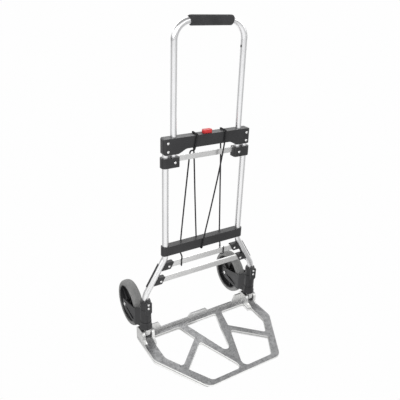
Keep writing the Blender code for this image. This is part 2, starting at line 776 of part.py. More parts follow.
def make_button(joint):
    """The button's cap, its flange under the housing's top, and the cam plate with slanted slots."""
    button = box("release_button", (-0.0155, -0.0085, 0.7460), (0.0155, 0.0085, 0.7630), 0.003)
    join(button, box("button_flange", (-0.0225, -0.0105, 0.7442), (0.0225, 0.0105, 0.7482)))
    cam = [(0.018, 0.7465, 0), (0.018, 0.7255, 0.001), (0.0042, 0.7255, 0.001), (0.0042, 0.7312, 0.001)]
    join(button, flat("cam_plate", [rounded(both_sides(cam))], -0.003, 0.003, "XZ"))
    start = PEG_START
    end = (start[0] - PIN_TRAVEL, start[1] + BUTTON_TRAVEL)
    for side in (1, -1):
        slot = capsule((side * start[0], start[1]), (side * end[0], end[1]), PEG_RADIUS + GAP)
        cut(button, flat("cam_slot", [slot], -0.01, 0.01, "XZ"))
    as_part(button, RED, joint)


def make_button_spring():
    """The compression spring between the housing's floor and the cam plate."""
    turns, per_turn = 5, 10
    low, high = 0.7192, 0.7305
    count = turns * per_turn
    points = []
    for i in range(count + 1):
        angle = 2 * math.pi * i / per_turn
        z = low + (high - low) * i / count
        points.append((0.0028 * math.cos(angle), 0.0028 * math.sin(angle), z))
    as_part(rod("button_spring", points, 0.0004, resolution=1), STEEL)


def make_lock_pins(joints):
    """A pin that reaches to just short of the handle tube, with a tab and peg in the cam's slot."""
    tip = HANDLE_X - HANDLE_RADIUS - 0.0005
    pin = cylinder("lock_pin_right", (0, 0, PIN_Z), PIN_RADIUS, 0.0320, tip, "X", 16)
    join(pin, box("pin_block", (0.0300, -0.0037, 0.7280), (0.0360, 0.0064, 0.7393)))
    join(pin, box("pin_tab", (0.0105, 0.0040, 0.7282), (0.0325, 0.0066, 0.7355)))
    join(pin, cylinder("peg", (PEG_START[0], 0, PEG_START[1]), PEG_RADIUS, -0.0028, 0.0050, "Y", 10))
    as_part(mirrored(pin, "lock_pin_left"), STEEL, joints["left"])
    as_part(pin, STEEL, joints["right"])


# Toe plate --------------------------------------------------------------------------------------


def plate_outline(inset=0.0, front=PLATE_REACH):
    """The deck's outer edge, or a line inset from it."""
    side = PLATE_HALF_WIDTH - inset
    slope = 0.097 / 0.175
    diagonal = inset * math.sqrt(1 + slope * slope)
    knee = -0.115 + inset * 0.265
    corner = side - (front - inset + knee) * slope - (diagonal - inset)
    half = [
        (side, PLATE_BACK - inset, 0.003),
        (side, knee, 0.040),
        (corner, -(front - inset), 0.032),
    ]
    return rounded(both_sides(half), steps=5)


MIDDLE_WINDOW = [(0.067, -0.0052), (0.0, -0.2240)]
BACK_WINDOW = [(0.093, -0.0062), (0.2115, -0.0066), (0.2115, -0.1247), (0.1757, -0.1875), (0.0725, -0.0870)]
FRONT_WINDOW = [(0.0657, -0.1106), (0.1670, -0.2080), (0.1205, -0.2862), (0.0085, -0.2866), (0.0085, -0.2615)]
BACK_RADII = [0.012, 0.020, 0.030, 0.010, 0.005]
FRONT_RADII = [0.009, 0.004, 0.018, 0.016, 0.004]


def grown(corners, distance):
    """A clockwise or anticlockwise outline moved outwards by distance, corner by corner."""
    area = sum(a[0] * b[1] - b[0] * a[1] for a, b in zip(corners, corners[1:] + corners[:1]))
    turn = 1 if area > 0 else -1
    result = []
    for i, corner in enumerate(corners):
        before = (Vector(corner) - Vector(corners[i - 1])).normalized()
        after = (Vector(corners[(i + 1) % len(corners)]) - Vector(corner)).normalized()
        out_before = Vector((before.y, -before.x)) * turn
        out_after = Vector((after.y, -after.x)) * turn
        shift = (out_before + out_after) * distance / (1 + out_before.dot(out_after))
        result.append((corner[0] + shift.x, corner[1] + shift.y))
    return result


def windows(distance=0.0):
    """The five windows in the deck, each grown by distance."""
    outlines = []
    middle = [MIDDLE_WINDOW[0], MIDDLE_WINDOW[1], (-MIDDLE_WINDOW[0][0], MIDDLE_WINDOW[0][1])]
    radii = [0.006, 0.014, 0.006]
    outlines.append((middle, radii))
    for corners, radii in ((BACK_WINDOW, BACK_RADII), (FRONT_WINDOW, FRONT_RADII)):
        for side in (1, -1):
            outlines.append(([(side * x, y) for x, y in corners], radii))
    result = []
    for corners, radii in outlines:
        moved = grown(corners, distance) if distance else corners
        result.append(rounded([(*p, r + distance) for p, r in zip(moved, radii)]))
    return result


EAR_BRIDGE = [
    (-0.0580, 0.0100),
    (-0.0580, 0.0172),
    (-0.0300, 0.0285),
    (-0.0170, 0.0322),
    (0.0150, 0.0322),
    (0.0150, 0.0000),
    (-0.0400, 0.0000),
]


def ear_outline():
    """A hinge ear seen from the side: round in front of the pin, a straight top behind it."""
    eye = 0.0145
    return rounded(
        [
            (-0.0380, 0.0150, 0),
            (-0.0240, 0.0270, 0.004),
            (HINGE_Y - eye, HINGE_Z + eye, eye - 0.0002),
            (0.0200, HINGE_Z + eye, 0.004),
            (0.0310, 0.0520, 0.004),
            (0.0310, 0.0004, 0.002),
            (-0.0380, 0.0004, 0.001),
        ],
        steps=6,
    )


def flange_outline():
    """The wavy wall along the deck's back edge: low, with a raised middle and raised ends."""
    right = [
        (0.2060, 0.0040, 0),
        (0.2060, 0.0552, 0.001),
        (0.1690, 0.0552, 0.004),
        (0.1570, 0.0290, 0.006),
        (0.0455, 0.0290, 0.005),
        (0.0330, 0.0425, 0.003),
    ]
    return rounded(both_sides(list(reversed(right))))


def make_toe_plate(joint):
    deck = flat("toe_plate", [plate_outline(0.0002), *windows()], RIB_BOTTOM, PLATE_TOP)
    inside = plate_outline(PLATE_WALL)
    pocket = flat("underside", [inside, *windows(PLATE_WALL)], RIB_BOTTOM - 0.01, PLATE_TOP - PLATE_WEB)
    cut(pocket, box("pocket_front", (-0.3, -0.4, -0.05), (0.3, -0.2835, 0.05)))
    cut(pocket, box("pocket_back", (-0.3, -0.0095, -0.05), (0.3, 0.1, 0.05)))
    for side in (1, -1):
        low, high = sorted((side * 0.195, side * 0.26))
        cut(pocket, box("pocket_ears", (low, -0.042, -0.05), (high, 0.1, 0.05)))
    cut(deck, pocket)
    rim = flat("rim", [plate_outline(), plate_outline(PLATE_WALL + 0.0004, 0.2900)], 0, PLATE_TOP - 0.0009)
    join(deck, rim)
    join(deck, flat("back_flange", [flange_outline()], PLATE_BACK - 0.0052, PLATE_BACK - 0.0003, "XZ"))
    for side in (1, -1):
        for near, far in ((EAR_GAP - 0.001, EAR_INNER), (EAR_GAP - 0.001, EAR_OUTER)):
            toward = -1 if far == EAR_INNER else 1
            low, high = sorted((side * (FOOT_X + toward * near), side * (FOOT_X + toward * far)))
            join(deck, flat("ear", [ear_outline()], low, high, "YZ"))
        low, high = sorted((side * (FOOT_X - EAR_GAP), side * (FOOT_X + EAR_GAP)))
        cut(deck, box("foot_slot", (low, -0.0235, -0.05), (high, 0.06, 0.09)))
        join(deck, flat("ear_bridge", [EAR_BRIDGE], low - 0.0005, high + 0.0005, "YZ"))
        low, high = sorted((side * 0.19, side * 0.26))
        cut(deck, cylinder("hinge_bore", (0, HINGE_Y, HINGE_Z), HINGE_RADIUS + GAP, low, high, "X", 12))
    lip = PLATE_TOP - LIP_THICKNESS
    face = [(-PLATE_REACH + LIP_DEPTH, 0), (-PLATE_REACH, lip)]
    undercut = face + [(-0.330, lip), (-0.330, -0.020), (-0.266, -0.020)]
    cut(deck, flat("front_undercut", [undercut], -0.3, 0.3, "YZ"))
    as_part(deck, CAST, joint)
    head = FOOT_X + EAR_OUTER + GAP
    for name, side in sides():
        cap = [(0, 0.0012), (0.0040, 0.0008), (0.0046, 0), (HINGE_RADIUS, 0)]
        profile = cap + [(HINGE_RADIUS, -0.0465), (0, -0.0468)]
        points = profile if side > 0 else [(r, -h) for r, h in reversed(profile)]
        pin = turned(f"hinge_pin_{name}", points, (side * head, HINGE_Y, HINGE_Z), "X", 12)
        as_part(pin, STEEL, joint)


# Forks and wheels -------------------------------------------------------------------------------


def fork_collar():
    profile = [
        (0.0165, COLLAR_TOP),
        (COLLAR_RADIUS, COLLAR_TOP - 0.002),
        (COLLAR_RADIUS, 0.084),
        (0.0222, 0.076),
        (0.0222, COLLAR_BOTTOM + 0.002),
        (0.0205, COLLAR_BOTTOM),
        (0.0100, COLLAR_BOTTOM),
        (0.0100, COLLAR_TOP),
    ]
    return turned("fork_right", profile, (FOOT_X, 0, 0), steps=22, closed=True)


def fork_root():
    """The block between the collar and the cheeks, hollow towards the wheel."""
    plan = [(0.0160, 0.0020), (0.0185, 0.0120), (CHEEK_OUTER, 0.0330), (CHEEK_OUTER, 0.0410)]
    plan += [(-x, y) for x, y in reversed(plan)]
    root = flat("fork_root", [[(FOOT_X + x, y) for x, y in plan]], 0.05, 0.17)
    side_view = [
        (0.0000, COLLAR_BOTTOM + 0.002, 0),
        (0.0300, COLLAR_BOTTOM + 0.001, 0.002),
        (0.0450, 0.0600, 0),
        (0.0450, 0.1265, 0),
        (0.0300, 0.1330, 0.010),
        (0.0200, 0.1465, 0.006),
        (0.0000, 0.1465, 0),
    ]
    combine(root, flat("root_side", [rounded(side_view)], FOOT_X - 0.05, FOOT_X + 0.05, "YZ"), "INTERSECT")
    cut(root, box("root_hollow", (FOOT_X - 0.0185, 0.0270, 0.0690), (FOOT_X + 0.0185, 0.05, 0.1240)))
    return root


def cheek_outline():
    return rounded(
        [
            (0.0345, 0.0600, 0.002),
            (0.0640, 0.0585, 0.010),
            (0.1290, 0.0635, 0.010),
            (0.1475, 0.0780, 0.010),
            (0.1490, 0.1030, 0.006),
            (0.0400, 0.1270, 0.004),
            (0.0345, 0.1290, 0),
        ]
    )


def cheek_window():
    """The wedge-shaped slot along each cheek's lower side."""
    corners = [(0.0480, 0.0785), (0.1180, 0.0880), (0.1175, 0.0800), (0.0590, 0.0675)]
    return rounded([(*p, 0.0015) for p in corners], steps=3)


def make_forks(joints):
    fork = fork_collar()
    join(fork, fork_root())
    for low, high in ((-CHEEK_OUTER + 0.0001, -CHEEK_INNER), (CHEEK_INNER, CHEEK_OUTER - 0.0001)):
        cheek = [cheek_outline(), cheek_window()]
        join(fork, flat("cheek", cheek, FOOT_X + low, FOOT_X + high, "YZ"))
    cut(fork, cylinder("fork_bore", (FOOT_X, 0, 0), LEG_RADIUS + 0.0004, 0.02, 0.2, "Z", 24))
    cut(fork, cylinder("axle_bore", (0, WHEEL_TRAIL, WHEEL_RADIUS), AXLE_RADIUS + GAP, 0.18, 0.27, "X", 12))
    as_part(mirrored(fork, "fork_left"), BLACK, joints["left"])
    as_part(fork, BLACK, joints["right"])


AXLE_RADIUS = 0.0040
AXLE_HEAD = 0.0031
NUT_THICKNESS = 0.0029


def make_axle(name, side, joint):
    """The wheel's bolt, its head on the outside, and the nut on its inner end."""
    place = (side * FOOT_X, WHEEL_TRAIL, WHEEL_RADIUS)
    face = CHEEK_OUTER + GAP
    profile = [
        (0, face + AXLE_HEAD),
        (0.0045, face + AXLE_HEAD - 0.0006),
        (0.0065, face),
        (AXLE_RADIUS, face),
        (AXLE_RADIUS, -face - NUT_THICKNESS + 0.0004),
        (0, -face - NUT_THICKNESS),
    ]
    points = profile if side > 0 else [(r, -h) for r, h in reversed(profile)]
    as_part(turned(f"axle_{name}", points, place, "X", 16), STEEL, joint)
    near, far = sorted((-side * face, -side * (face + NUT_THICKNESS)))
    nut = cylinder(f"axle_nut_{name}", place, 0.0068, place[0] + near, place[0] + far, "X", 6)
    cut(nut, cylinder("nut_bore", place, AXLE_RADIUS + GAP, place[0] - 0.05, place[0] + 0.05, "X", 16))
    as_part(nut, STEEL, joint)


def make_wheel(name, side, joint):
    """The tyre, the hub with its rim, web and boss, and the bush in the hub."""
    place = (side * FOOT_X, WHEEL_TRAIL, WHEEL_RADIUS)
    half = [
        (WHEEL_RADIUS, 0.0060),
        (WHEEL_RADIUS - 0.0022, 0.0125),
        (WHEEL_RADIUS - 0.0075, TYRE_HALF_WIDTH - 0.0012),
        (WHEEL_RADIUS - 0.0140, TYRE_HALF_WIDTH),
        (RIM_RADIUS + GAP, TYRE_HALF_WIDTH - 0.0015),
    ]
    ring = list(reversed(half)) + [(r, -h) for r, h in half]
    as_part(turned(f"tyre_{name}", ring, place, "X", 36, closed=True), GREY, joint)
    bore = 0.0064
    half = [
        (bore, 0.0205),
        (0.0130, 0.0205),
        (0.0145, 0.0030),
        (RIM_RADIUS - 0.0035, 0.0030),
        (RIM_RADIUS - 0.0030, 0.0165),
        (RIM_RADIUS, 0.0165),
    ]
    ring = half + [(r, -h) for r, h in reversed(half)]
    as_part(turned(f"hub_{name}", ring, place, "X", 36, closed=True), BLACK, joint)
    outer = bore - GAP
    inner = AXLE_RADIUS + GAP
    ring = [(inner, 0.0210), (outer, 0.0210), (outer, -0.0210), (inner, -0.0210)]
    as_part(turned(f"wheel_bush_{name}", ring, place, "X", 16, closed=True), STEEL, joint)


def main():
    make_legs()
    make_beam()
    make_lower_bar()
    make_crossbar("crossbar_upper", UPPER_CROSSBAR_HALF, UPPER_CROSSBAR, BRACKET_RIVETS["upper"])
    make_crossbar("crossbar_lower", LOWER_CROSSBAR_HALF, LOWER_CROSSBAR, BRACKET_RIVETS["lower"])
    make_brackets()
    make_sleeves()
    make_feet()
    make_cord()
    make_button_spring()
    handle = new_joint("handle_slide", (0, 0, HANDLE_BOTTOM))
    make_handle(handle)
    make_sliders(handle)
    make_button(new_joint("button_press", (0, 0, BEAM_TOP)))
    make_lock_pins({name: new_joint(f"lock_{name}_slide", (side * 0.11, 0, PIN_Z)) for name, side in sides()})
    make_toe_plate(new_joint("toe_plate_fold", (0, HINGE_Y, HINGE_Z)))
    swivels = {}
    for name, side in sides():
        swivels[name] = new_joint(f"fork_{name}_swivel", (side * FOOT_X, 0, WHEEL_RADIUS))
    make_forks(swivels)
    for name, side in sides():
        make_axle(name, side, swivels[name])
        axle = (side * FOOT_X, WHEEL_TRAIL, WHEEL_RADIUS)
        make_wheel(name, side, new_joint(f"wheel_{name}_spin", axle, swivels[name]))


main()
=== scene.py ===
"""Looks of the folding hand truck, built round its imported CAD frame.

Shapes are made in leg plane coordinates, as in the CAD source: X right, Y backwards from the
plane of the two leg tubes, Z up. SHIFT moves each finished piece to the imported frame.
"""

import math

import bmesh
import bpy
from mathutils import Matrix, Vector


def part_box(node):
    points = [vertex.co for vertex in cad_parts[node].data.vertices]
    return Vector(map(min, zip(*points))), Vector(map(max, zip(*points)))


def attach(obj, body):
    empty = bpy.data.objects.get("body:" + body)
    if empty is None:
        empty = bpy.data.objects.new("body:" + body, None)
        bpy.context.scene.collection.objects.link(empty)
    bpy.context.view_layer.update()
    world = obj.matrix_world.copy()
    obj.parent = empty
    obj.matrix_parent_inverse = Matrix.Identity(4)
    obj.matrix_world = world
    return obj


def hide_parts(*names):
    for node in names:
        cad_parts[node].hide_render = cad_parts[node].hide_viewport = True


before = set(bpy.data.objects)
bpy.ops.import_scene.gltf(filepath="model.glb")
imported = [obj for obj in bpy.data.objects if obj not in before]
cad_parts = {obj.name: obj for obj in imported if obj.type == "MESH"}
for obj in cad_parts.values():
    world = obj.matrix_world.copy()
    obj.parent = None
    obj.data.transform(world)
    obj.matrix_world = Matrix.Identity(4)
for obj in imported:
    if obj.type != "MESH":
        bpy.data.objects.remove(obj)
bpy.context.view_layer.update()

leg_low, leg_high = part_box("leg_tube_left")
SHIFT = Vector((0, (leg_low.y + leg_high.y) / 2, 0))
GAP = 0.0003
SLIDING_GAP = 0.0004
SIDES = (("right", 1), ("left", -1))

# ---- materials ----


def put(tree, target, value):
    if isinstance(value, bpy.types.NodeSocket):
        tree.links.new(value, target)
    else:
        target.default_value = value


def add_node(tree, kind, inputs, output=0, **settings):
    """Adds a shader node with its sockets set or linked, and gives one of its outputs."""
    node = tree.nodes.new("ShaderNode" + kind)
    for key, value in settings.items():
        setattr(node, key, value)
    for socket, value in inputs.items():
        put(tree, node.inputs[socket], value)
    return node.outputs[output]


class Recipe:
    """A Principled material and short calls that add nodes to it."""

    def __init__(self, name):
        self.material = bpy.data.materials.new(name)
        self.material.use_nodes = True
        self.tree = self.material.node_tree
        self.shader = self.tree.nodes["Principled BSDF"]
        self.object_place = self.node("TexCoord", {}, "Object")

    def node(self, kind, inputs, output=0, **settings):
        return add_node(self.tree, kind, inputs, output, **settings)

    def set(self, **values):
        for name, value in values.items():
            put(self.tree, self.shader.inputs[name.replace("_", " ")], value)

    def uv(self):
        return self.node("TexCoord", {}, "UV")

    def stretched(self, place, scale):
        return self.node("Mapping", {"Vector": place, "Scale": scale})

    def noise(self, scale, detail=4.0, place=None, roughness=0.55):
        place = place or self.object_place
        inputs = {"Vector": place, "Scale": scale, "Detail": detail, "Roughness": roughness}
        return self.node("TexNoise", inputs, "Fac")

    def remap(self, value, low, high, to_low, to_high):
        ends = {"From Min": low, "From Max": high, "To Min": to_low, "To Max": to_high}
        return self.node("MapRange", {"Value": value, **ends})

    def spread(self, noise, high=1.0, low=0.0):
        """The usual range of a noise, spread from low to high."""
        return self.remap(noise, 0.3, 0.7, low, high)

    def math(self, operation, a, b):
        return self.node("Math", {0: a, 1: b}, operation=operation)

    def blend(self, share, dark, light):
        """A colour between two, each an RGB triple or a socket."""
        inputs = {"Factor": share}
        for socket, value in ((6, dark), (7, light)):
            inputs[socket] = (*value, 1) if isinstance(value, tuple) else value
        return self.node("Mix", inputs, 2, data_type="RGBA")

    def bump(self, height, distance, strength=1.0, under=None):
        inputs = {"Height": height, "Distance": distance, "Strength": strength}
        if under is not None:
            inputs["Normal"] = under
        return self.node("Bump", inputs)

    def edges(self, radius, low=0.02, high=0.25):
        """1 within about radius of an edge, 0 on flat places."""
        soft = self.node("Bevel", {"Radius": radius}, samples=6)
        true = self.node("NewGeometry", {}, "Normal")
        alike = self.node("VectorMath", {0: soft, 1: true}, "Value", operation="DOT_PRODUCT")
        return self.remap(alike, 1 - low, 1 - high, 0.0, 1.0)


def drawn_metal(name, dull, bright, rough, bar=False):
    """Anodised metal with fine lines along a tube or along X on a flat bar, and faint smudges."""
    r = Recipe(name)
    if bar:
        lines = r.noise(1.0, 3.0, r.stretched(r.object_place, (18, 2200, 2200)))
    else:
        lines = r.noise(1.0, 3.0, r.stretched(r.uv(), (2600, 14, 1)))
    smudge = r.noise(22.0 if bar else 16.0, 5.0)
    tone = r.math("ADD", r.spread(lines, 0.5), r.spread(smudge, 0.5))
    r.set(Base_Color=r.blend(tone, dull, bright), Metallic=1.0)
    r.set(Roughness=r.remap(tone, 0.0, 1.0, rough + (0.1 if bar else 0.09), rough))
    r.set(Normal=r.bump(lines, 0.00004))
    return r.material


def cast_metal(name):
    """Tumbled die casting, mottled and speckled, with painted light: the top painted dull and
    dark, the walls painted bright as if lit, and painted shade on the edges.
    """
    r = Recipe(name)
    cloudy = r.noise(60.0, 6.0, roughness=0.62)
    fine = r.noise(420.0, 5.0, roughness=0.7)
    pits = r.noise(1500.0, 2.0)
    clouds = r.remap(cloudy, 0.32, 0.68, 0.0, 0.62)
    mottle = r.math("ADD", clouds, r.spread(fine, 0.38))
    specks = r.remap(r.noise(170.0, 4.0, roughness=0.7), 0.53, 0.64, 0.0, 0.75)
    plain = r.blend(mottle, (0.235, 0.236, 0.24), (0.45, 0.452, 0.458))
    top = r.blend(specks, plain, (0.1, 0.1, 0.102))
    # painted light: the walls' colour, near white as if brightly lit, with the same mottle
    wall = r.blend(mottle, (0.86, 0.86, 0.85), (0.98, 0.98, 0.97))
    upward = r.node("SeparateXYZ", {0: r.node("TexCoord", {}, "Normal")}, 2)
    facing_up = r.remap(upward, 0.8, 0.97, 0.0, 1.0)
    # painted light and shade: faces that point up take the darker top colour, all other faces the
    # bright wall colour
    colour = r.blend(facing_up, wall, top)
    # painted shade: every edge darkened towards grey
    edge = r.math("MULTIPLY", r.edges(0.0013), 0.75)
    r.set(Base_Color=r.blend(edge, colour, (0.2, 0.2, 0.2)), Metallic=1.0)
    r.set(Roughness=r.remap(mottle, 0.0, 1.0, 0.52, 0.36))
    rough_skin = r.bump(fine, 0.00025, 0.6)
    r.set(Normal=r.bump(pits, 0.00012, 0.6, rough_skin))
    return r.material


def moulded(name, dark, light, rough, grain=1900.0):
    """Nylon moulding with a fine spark-eroded grain, and a painted highlight that lightens its
    edges.
    """
    r = Recipe(name)
    patch = r.noise(26.0, 5.0)
    fine = r.noise(grain, 3.0)
    colour = r.blend(r.spread(patch), dark, light)
    # painted highlight: edges lightened to a much paler colour, as if catching the light
    painted_edge_highlight = tuple(min(1.0, c * 2.6) for c in light)
    r.set(Base_Color=r.blend(r.edges(0.0014), colour, painted_edge_highlight))
    r.set(Roughness=r.spread(patch, rough - 0.04, rough + 0.07))
    r.set(Normal=r.bump(fine, 0.00006, 0.8))
    return r.material


def foam(name):
    """Closed-cell foam: tiny cells in the skin and a soft sheen."""
    r = Recipe(name)
    cells = r.node("TexVoronoi", {"Vector": r.object_place, "Scale": 900.0}, "Distance")
    patch = r.noise(45.0, 5.0)
    tone = r.spread(patch)
    r.set(Base_Color=r.blend(tone, (0.024, 0.024, 0.026), (0.038, 0.038, 0.041)))
    r.set(Roughness=r.remap(cells, 0.0, 0.8, 0.72, 0.95))
    r.set(Normal=r.bump(cells, 0.00018, 0.7))
    r.shader.inputs["Sheen Weight"].default_value = 0.08
    return r.material


def steel(name, dull, bright, rough):
    """Plated steel with faint turning marks and handling stains."""
    r = Recipe(name)
    fine = r.noise(900.0, 4.0)
    stain = r.noise(150.0, 4.0)
    r.set(Base_Color=r.blend(r.spread(stain), dull, bright), Metallic=1.0)
    r.set(Roughness=r.spread(fine, rough, rough + 0.1))
    r.set(Normal=r.bump(fine, 0.00004))
    return r.material


def rubber(name):
    """Grey tyre rubber: dusty patches and fine moulding marks."""
    r = Recipe(name)
    patch = r.noise(38.0, 6.0, roughness=0.6)
    fine = r.noise(1300.0, 3.0)
    scuff = r.noise(1.0, 4.0, r.stretched(r.object_place, (260, 40, 40)))
    dust = r.spread(patch, 0.6)
    tone = r.math("ADD", dust, r.remap(scuff, 0.35, 0.7, 0.0, 0.4))
    r.set(Base_Color=r.blend(tone, (0.205, 0.205, 0.203), (0.29, 0.29, 0.286)))
    r.set(Roughness=r.remap(tone, 0.0, 1.0, 0.62, 0.8))
    r.set(Normal=r.bump(fine, 0.00008, 0.7))
    return r.material


THREAD_PITCH = 0.0019


def braid(name):
    """Woven sheath: two sets of threads that cross on the slant."""
    r = Recipe(name)
    across = r.node("SeparateXYZ", {0: r.uv()}, 0)
    along = r.node("SeparateXYZ", {0: r.uv()}, 1)
    pitch = 2 * math.pi / THREAD_PITCH
    left = r.math("SINE", r.math("MULTIPLY", r.math("ADD", across, along), pitch), 0)
    right = r.math("SINE", r.math("MULTIPLY", r.math("SUBTRACT", across, along), pitch), 0)
    weave = r.math("MAXIMUM", left, right)
    fuzz = r.noise(2600.0, 2.0)
    threads = r.remap(weave, -0.4, 1.0, 0.0, 0.8)
    tone = r.math("ADD", threads, r.spread(fuzz, 0.2))
    r.set(Base_Color=r.blend(tone, (0.006, 0.006, 0.007), (0.026, 0.026, 0.028)))
    r.set(Roughness=r.spread(fuzz, 0.9, 0.68))
    r.set(Normal=r.bump(weave, 0.0002, 0.8))
    r.shader.inputs["Sheen Weight"].default_value = 0.03
    r.shader.inputs["Specular IOR Level"].default_value = 0.3
    return r.material


HANDLE_METAL = drawn_metal("handle_tube_satin", (0.88, 0.88, 0.89), (0.97, 0.97, 0.98), 0.2)
LEG_METAL = drawn_metal("leg_tube_satin", (0.86, 0.86, 0.865), (0.95, 0.95, 0.955), 0.25)
BAR_METAL = drawn_metal("flat_bar_mill", (0.72, 0.72, 0.715), (0.88, 0.88, 0.875), 0.3, bar=True)
BLACK = moulded("black_nylon", (0.017, 0.017, 0.018), (0.025, 0.025, 0.027), 0.38)
HUB_BLACK = moulded("black_wheel_plastic", (0.01, 0.01, 0.011), (0.018, 0.018, 0.019), 0.34)
RED = moulded("red_button_plastic", (0.62, 0.028, 0.03), (0.74, 0.044, 0.046), 0.34)
STEEL = steel("plated_steel", (0.74, 0.74, 0.74), (0.93, 0.93, 0.92), 0.2)
WIRE = steel("blackened_wire", (0.03, 0.03, 0.032), (0.07, 0.07, 0.074), 0.38)

# Each finish: its material, and the record's slot that it stands for.
FINISH = {
    "tube": (HANDLE_METAL, "anodised_tube"),
    "leg": (LEG_METAL, "anodised_tube"),
    "bar": (BAR_METAL, "anodised_tube"),
    "cast": (cast_metal("cast_plate"), "cast_aluminium"),
    "black": (BLACK, "black_moulding"),
    "hub": (HUB_BLACK, "black_moulding"),
    "red": (RED, "red_plastic"),
    "foam": (foam("grip_foam"), "foam_grip"),
    "steel": (STEEL, "bright_steel"),
    "wire": (WIRE, "bright_steel"),
    "tyre": (rubber("grey_tyre_rubber"), "grey_tyre"),
    "cord": (braid("braided_sheath"), "black_elastic"),
}

# ---- shape helpers ----

# PLANES stands a flat shape up in a plane. ALONG turns the Z axis of a turned shape.
PLANES = {
    "XY": Matrix.Identity(4),
    "XZ": Matrix(((1, 0, 0, 0), (0, 0, -1, 0), (0, 1, 0, 0), (0, 0, 0, 1))),
    "YZ": Matrix(((0, 0, 1, 0), (1, 0, 0, 0), (0, 1, 0, 0), (0, 0, 0, 1))),
}
ALONG = {
    "X": Matrix.Rotation(math.pi / 2, 4, "Y"),
    "Y": Matrix.Rotation(math.pi / 2, 4, "X"),
    "Z": Matrix.Identity(4),
}
scratch = []


def new_object(name, shape):
    mesh = bpy.data.meshes.new(name)
    shape.to_mesh(mesh)
    shape.free()
    obj = bpy.data.objects.new(name, mesh)
    bpy.context.scene.collection.objects.link(obj)
    scratch.append(obj)
    return obj


def solved(obj):
    """A free copy of the object's mesh with its modifiers applied."""
    graph = bpy.context.evaluated_depsgraph_get()
    return bpy.data.meshes.new_from_object(obj.evaluated_get(graph), depsgraph=graph)


def sweep_points(spline, points, closed):
    spline.points.add(len(points) - 1)
    for target, point in zip(spline.points, points):
        target.co = (point[0], point[1], 0, 1)
    spline.use_cyclic_u = closed


def flat(name, outlines, low, high, plane="XY"):
    """A flat solid: closed outlines filled in a plane, with a thickness from low to high."""
    curve = bpy.data.curves.new(name, "CURVE")
    curve.dimensions = "2D"
    curve.fill_mode = "BOTH"
    curve.extrude = (high - low) / 2
    for outline in outlines:
        sweep_points(curve.splines.new("POLY"), outline, True)
    obj = bpy.data.objects.new(name, curve)
    bpy.context.scene.collection.objects.link(obj)
    mesh = solved(obj)
    bpy.data.objects.remove(obj)
    bpy.data.curves.remove(curve)
    shape = bmesh.new()
    shape.from_mesh(mesh)
    bpy.data.meshes.remove(mesh)
    middle = (low + high) / 2
    shift = Matrix.Translation((0, 0, -middle if plane == "XZ" else middle))
    bmesh.ops.remove_doubles(shape, verts=shape.verts, dist=1e-6)
    bmesh.ops.dissolve_limit(shape, angle_limit=1e-4, verts=shape.verts, edges=shape.edges)
    bmesh.ops.transform(shape, matrix=PLANES[plane] @ shift, verts=shape.verts)
    bmesh.ops.recalc_face_normals(shape, faces=shape.faces)
    return new_object(name, shape)


def box(name, low, high):
    shape = bmesh.new()
    bmesh.ops.create_cube(shape, size=1)
    bmesh.ops.scale(shape, vec=[b - a for a, b in zip(low, high)], verts=shape.verts)
    bmesh.ops.translate(shape, vec=[(a + b) / 2 for a, b in zip(low, high)], verts=shape.verts)
    return new_object(name, shape)


OFF_AXIS = 0.11  # a small turn that keeps a cutter's corners off the planes of what it cuts


def cylinder(name, place, radius, low, high, axis, sides=32):
    """A round bar along an axis from low to high, through place in the other two axes."""
    shape = bmesh.new()
    ends = {"radius1": radius, "radius2": radius, "depth": high - low}
    bmesh.ops.create_cone(shape, cap_ends=True, segments=sides, **ends)
    bmesh.ops.rotate(shape, matrix=Matrix.Rotation(OFF_AXIS, 3, "Z"), verts=shape.verts)
    bmesh.ops.rotate(shape, matrix=ALONG[axis].to_3x3(), verts=shape.verts)
    centre = Vector(place)
    centre["XYZ".index(axis)] = (low + high) / 2
    bmesh.ops.translate(shape, vec=centre, verts=shape.verts)
    return new_object(name, shape)


def turned(name, profile, place, axis="Z", steps=48, closed=False):
    """A turned shape from (radius, height) points, with points at radius 0 made into poles."""
    shape = bmesh.new()
    rings = []
    for radius, height in profile:
        if radius < 1e-7:
            rings.append([shape.verts.new((0, 0, height))])
            continue
        angles = [2 * math.pi * i / steps for i in range(steps)]
        ring = [(radius * math.cos(a), radius * math.sin(a), height) for a in angles]
        rings.append([shape.verts.new(point) for point in ring])
    pairs = list(zip(rings, rings[1:]))
    if closed:
        pairs.append((rings[-1], rings[0]))
    for upper, lower in pairs:
        for i in range(steps):
            corners = [upper[i % len(upper)], upper[(i + 1) % len(upper)]]
            corners += [lower[(i + 1) % len(lower)], lower[i % len(lower)]]
            unique = list(dict.fromkeys(corners))
            if len(unique) > 2:
                shape.faces.new(unique)
    bmesh.ops.transform(shape, matrix=Matrix.Translation(place) @ ALONG[axis], verts=shape.verts)
    bmesh.ops.recalc_face_normals(shape, faces=shape.faces)
    return new_object(name, shape)


def flipped(profile):
    """A profile to turn, end for end along its axis."""
    return [(r, -h) for r, h in reversed(profile)]


def tangents(points):
    """The direction of a path at each of its points."""
    count = len(points)
    result = []
    for i in range(count):
        before = points[i] - points[i - 1] if i else points[1] - points[0]
        after = points[i + 1] - points[i] if i < count - 1 else before
        result.append((before.normalized() + after.normalized()).normalized())
    return result


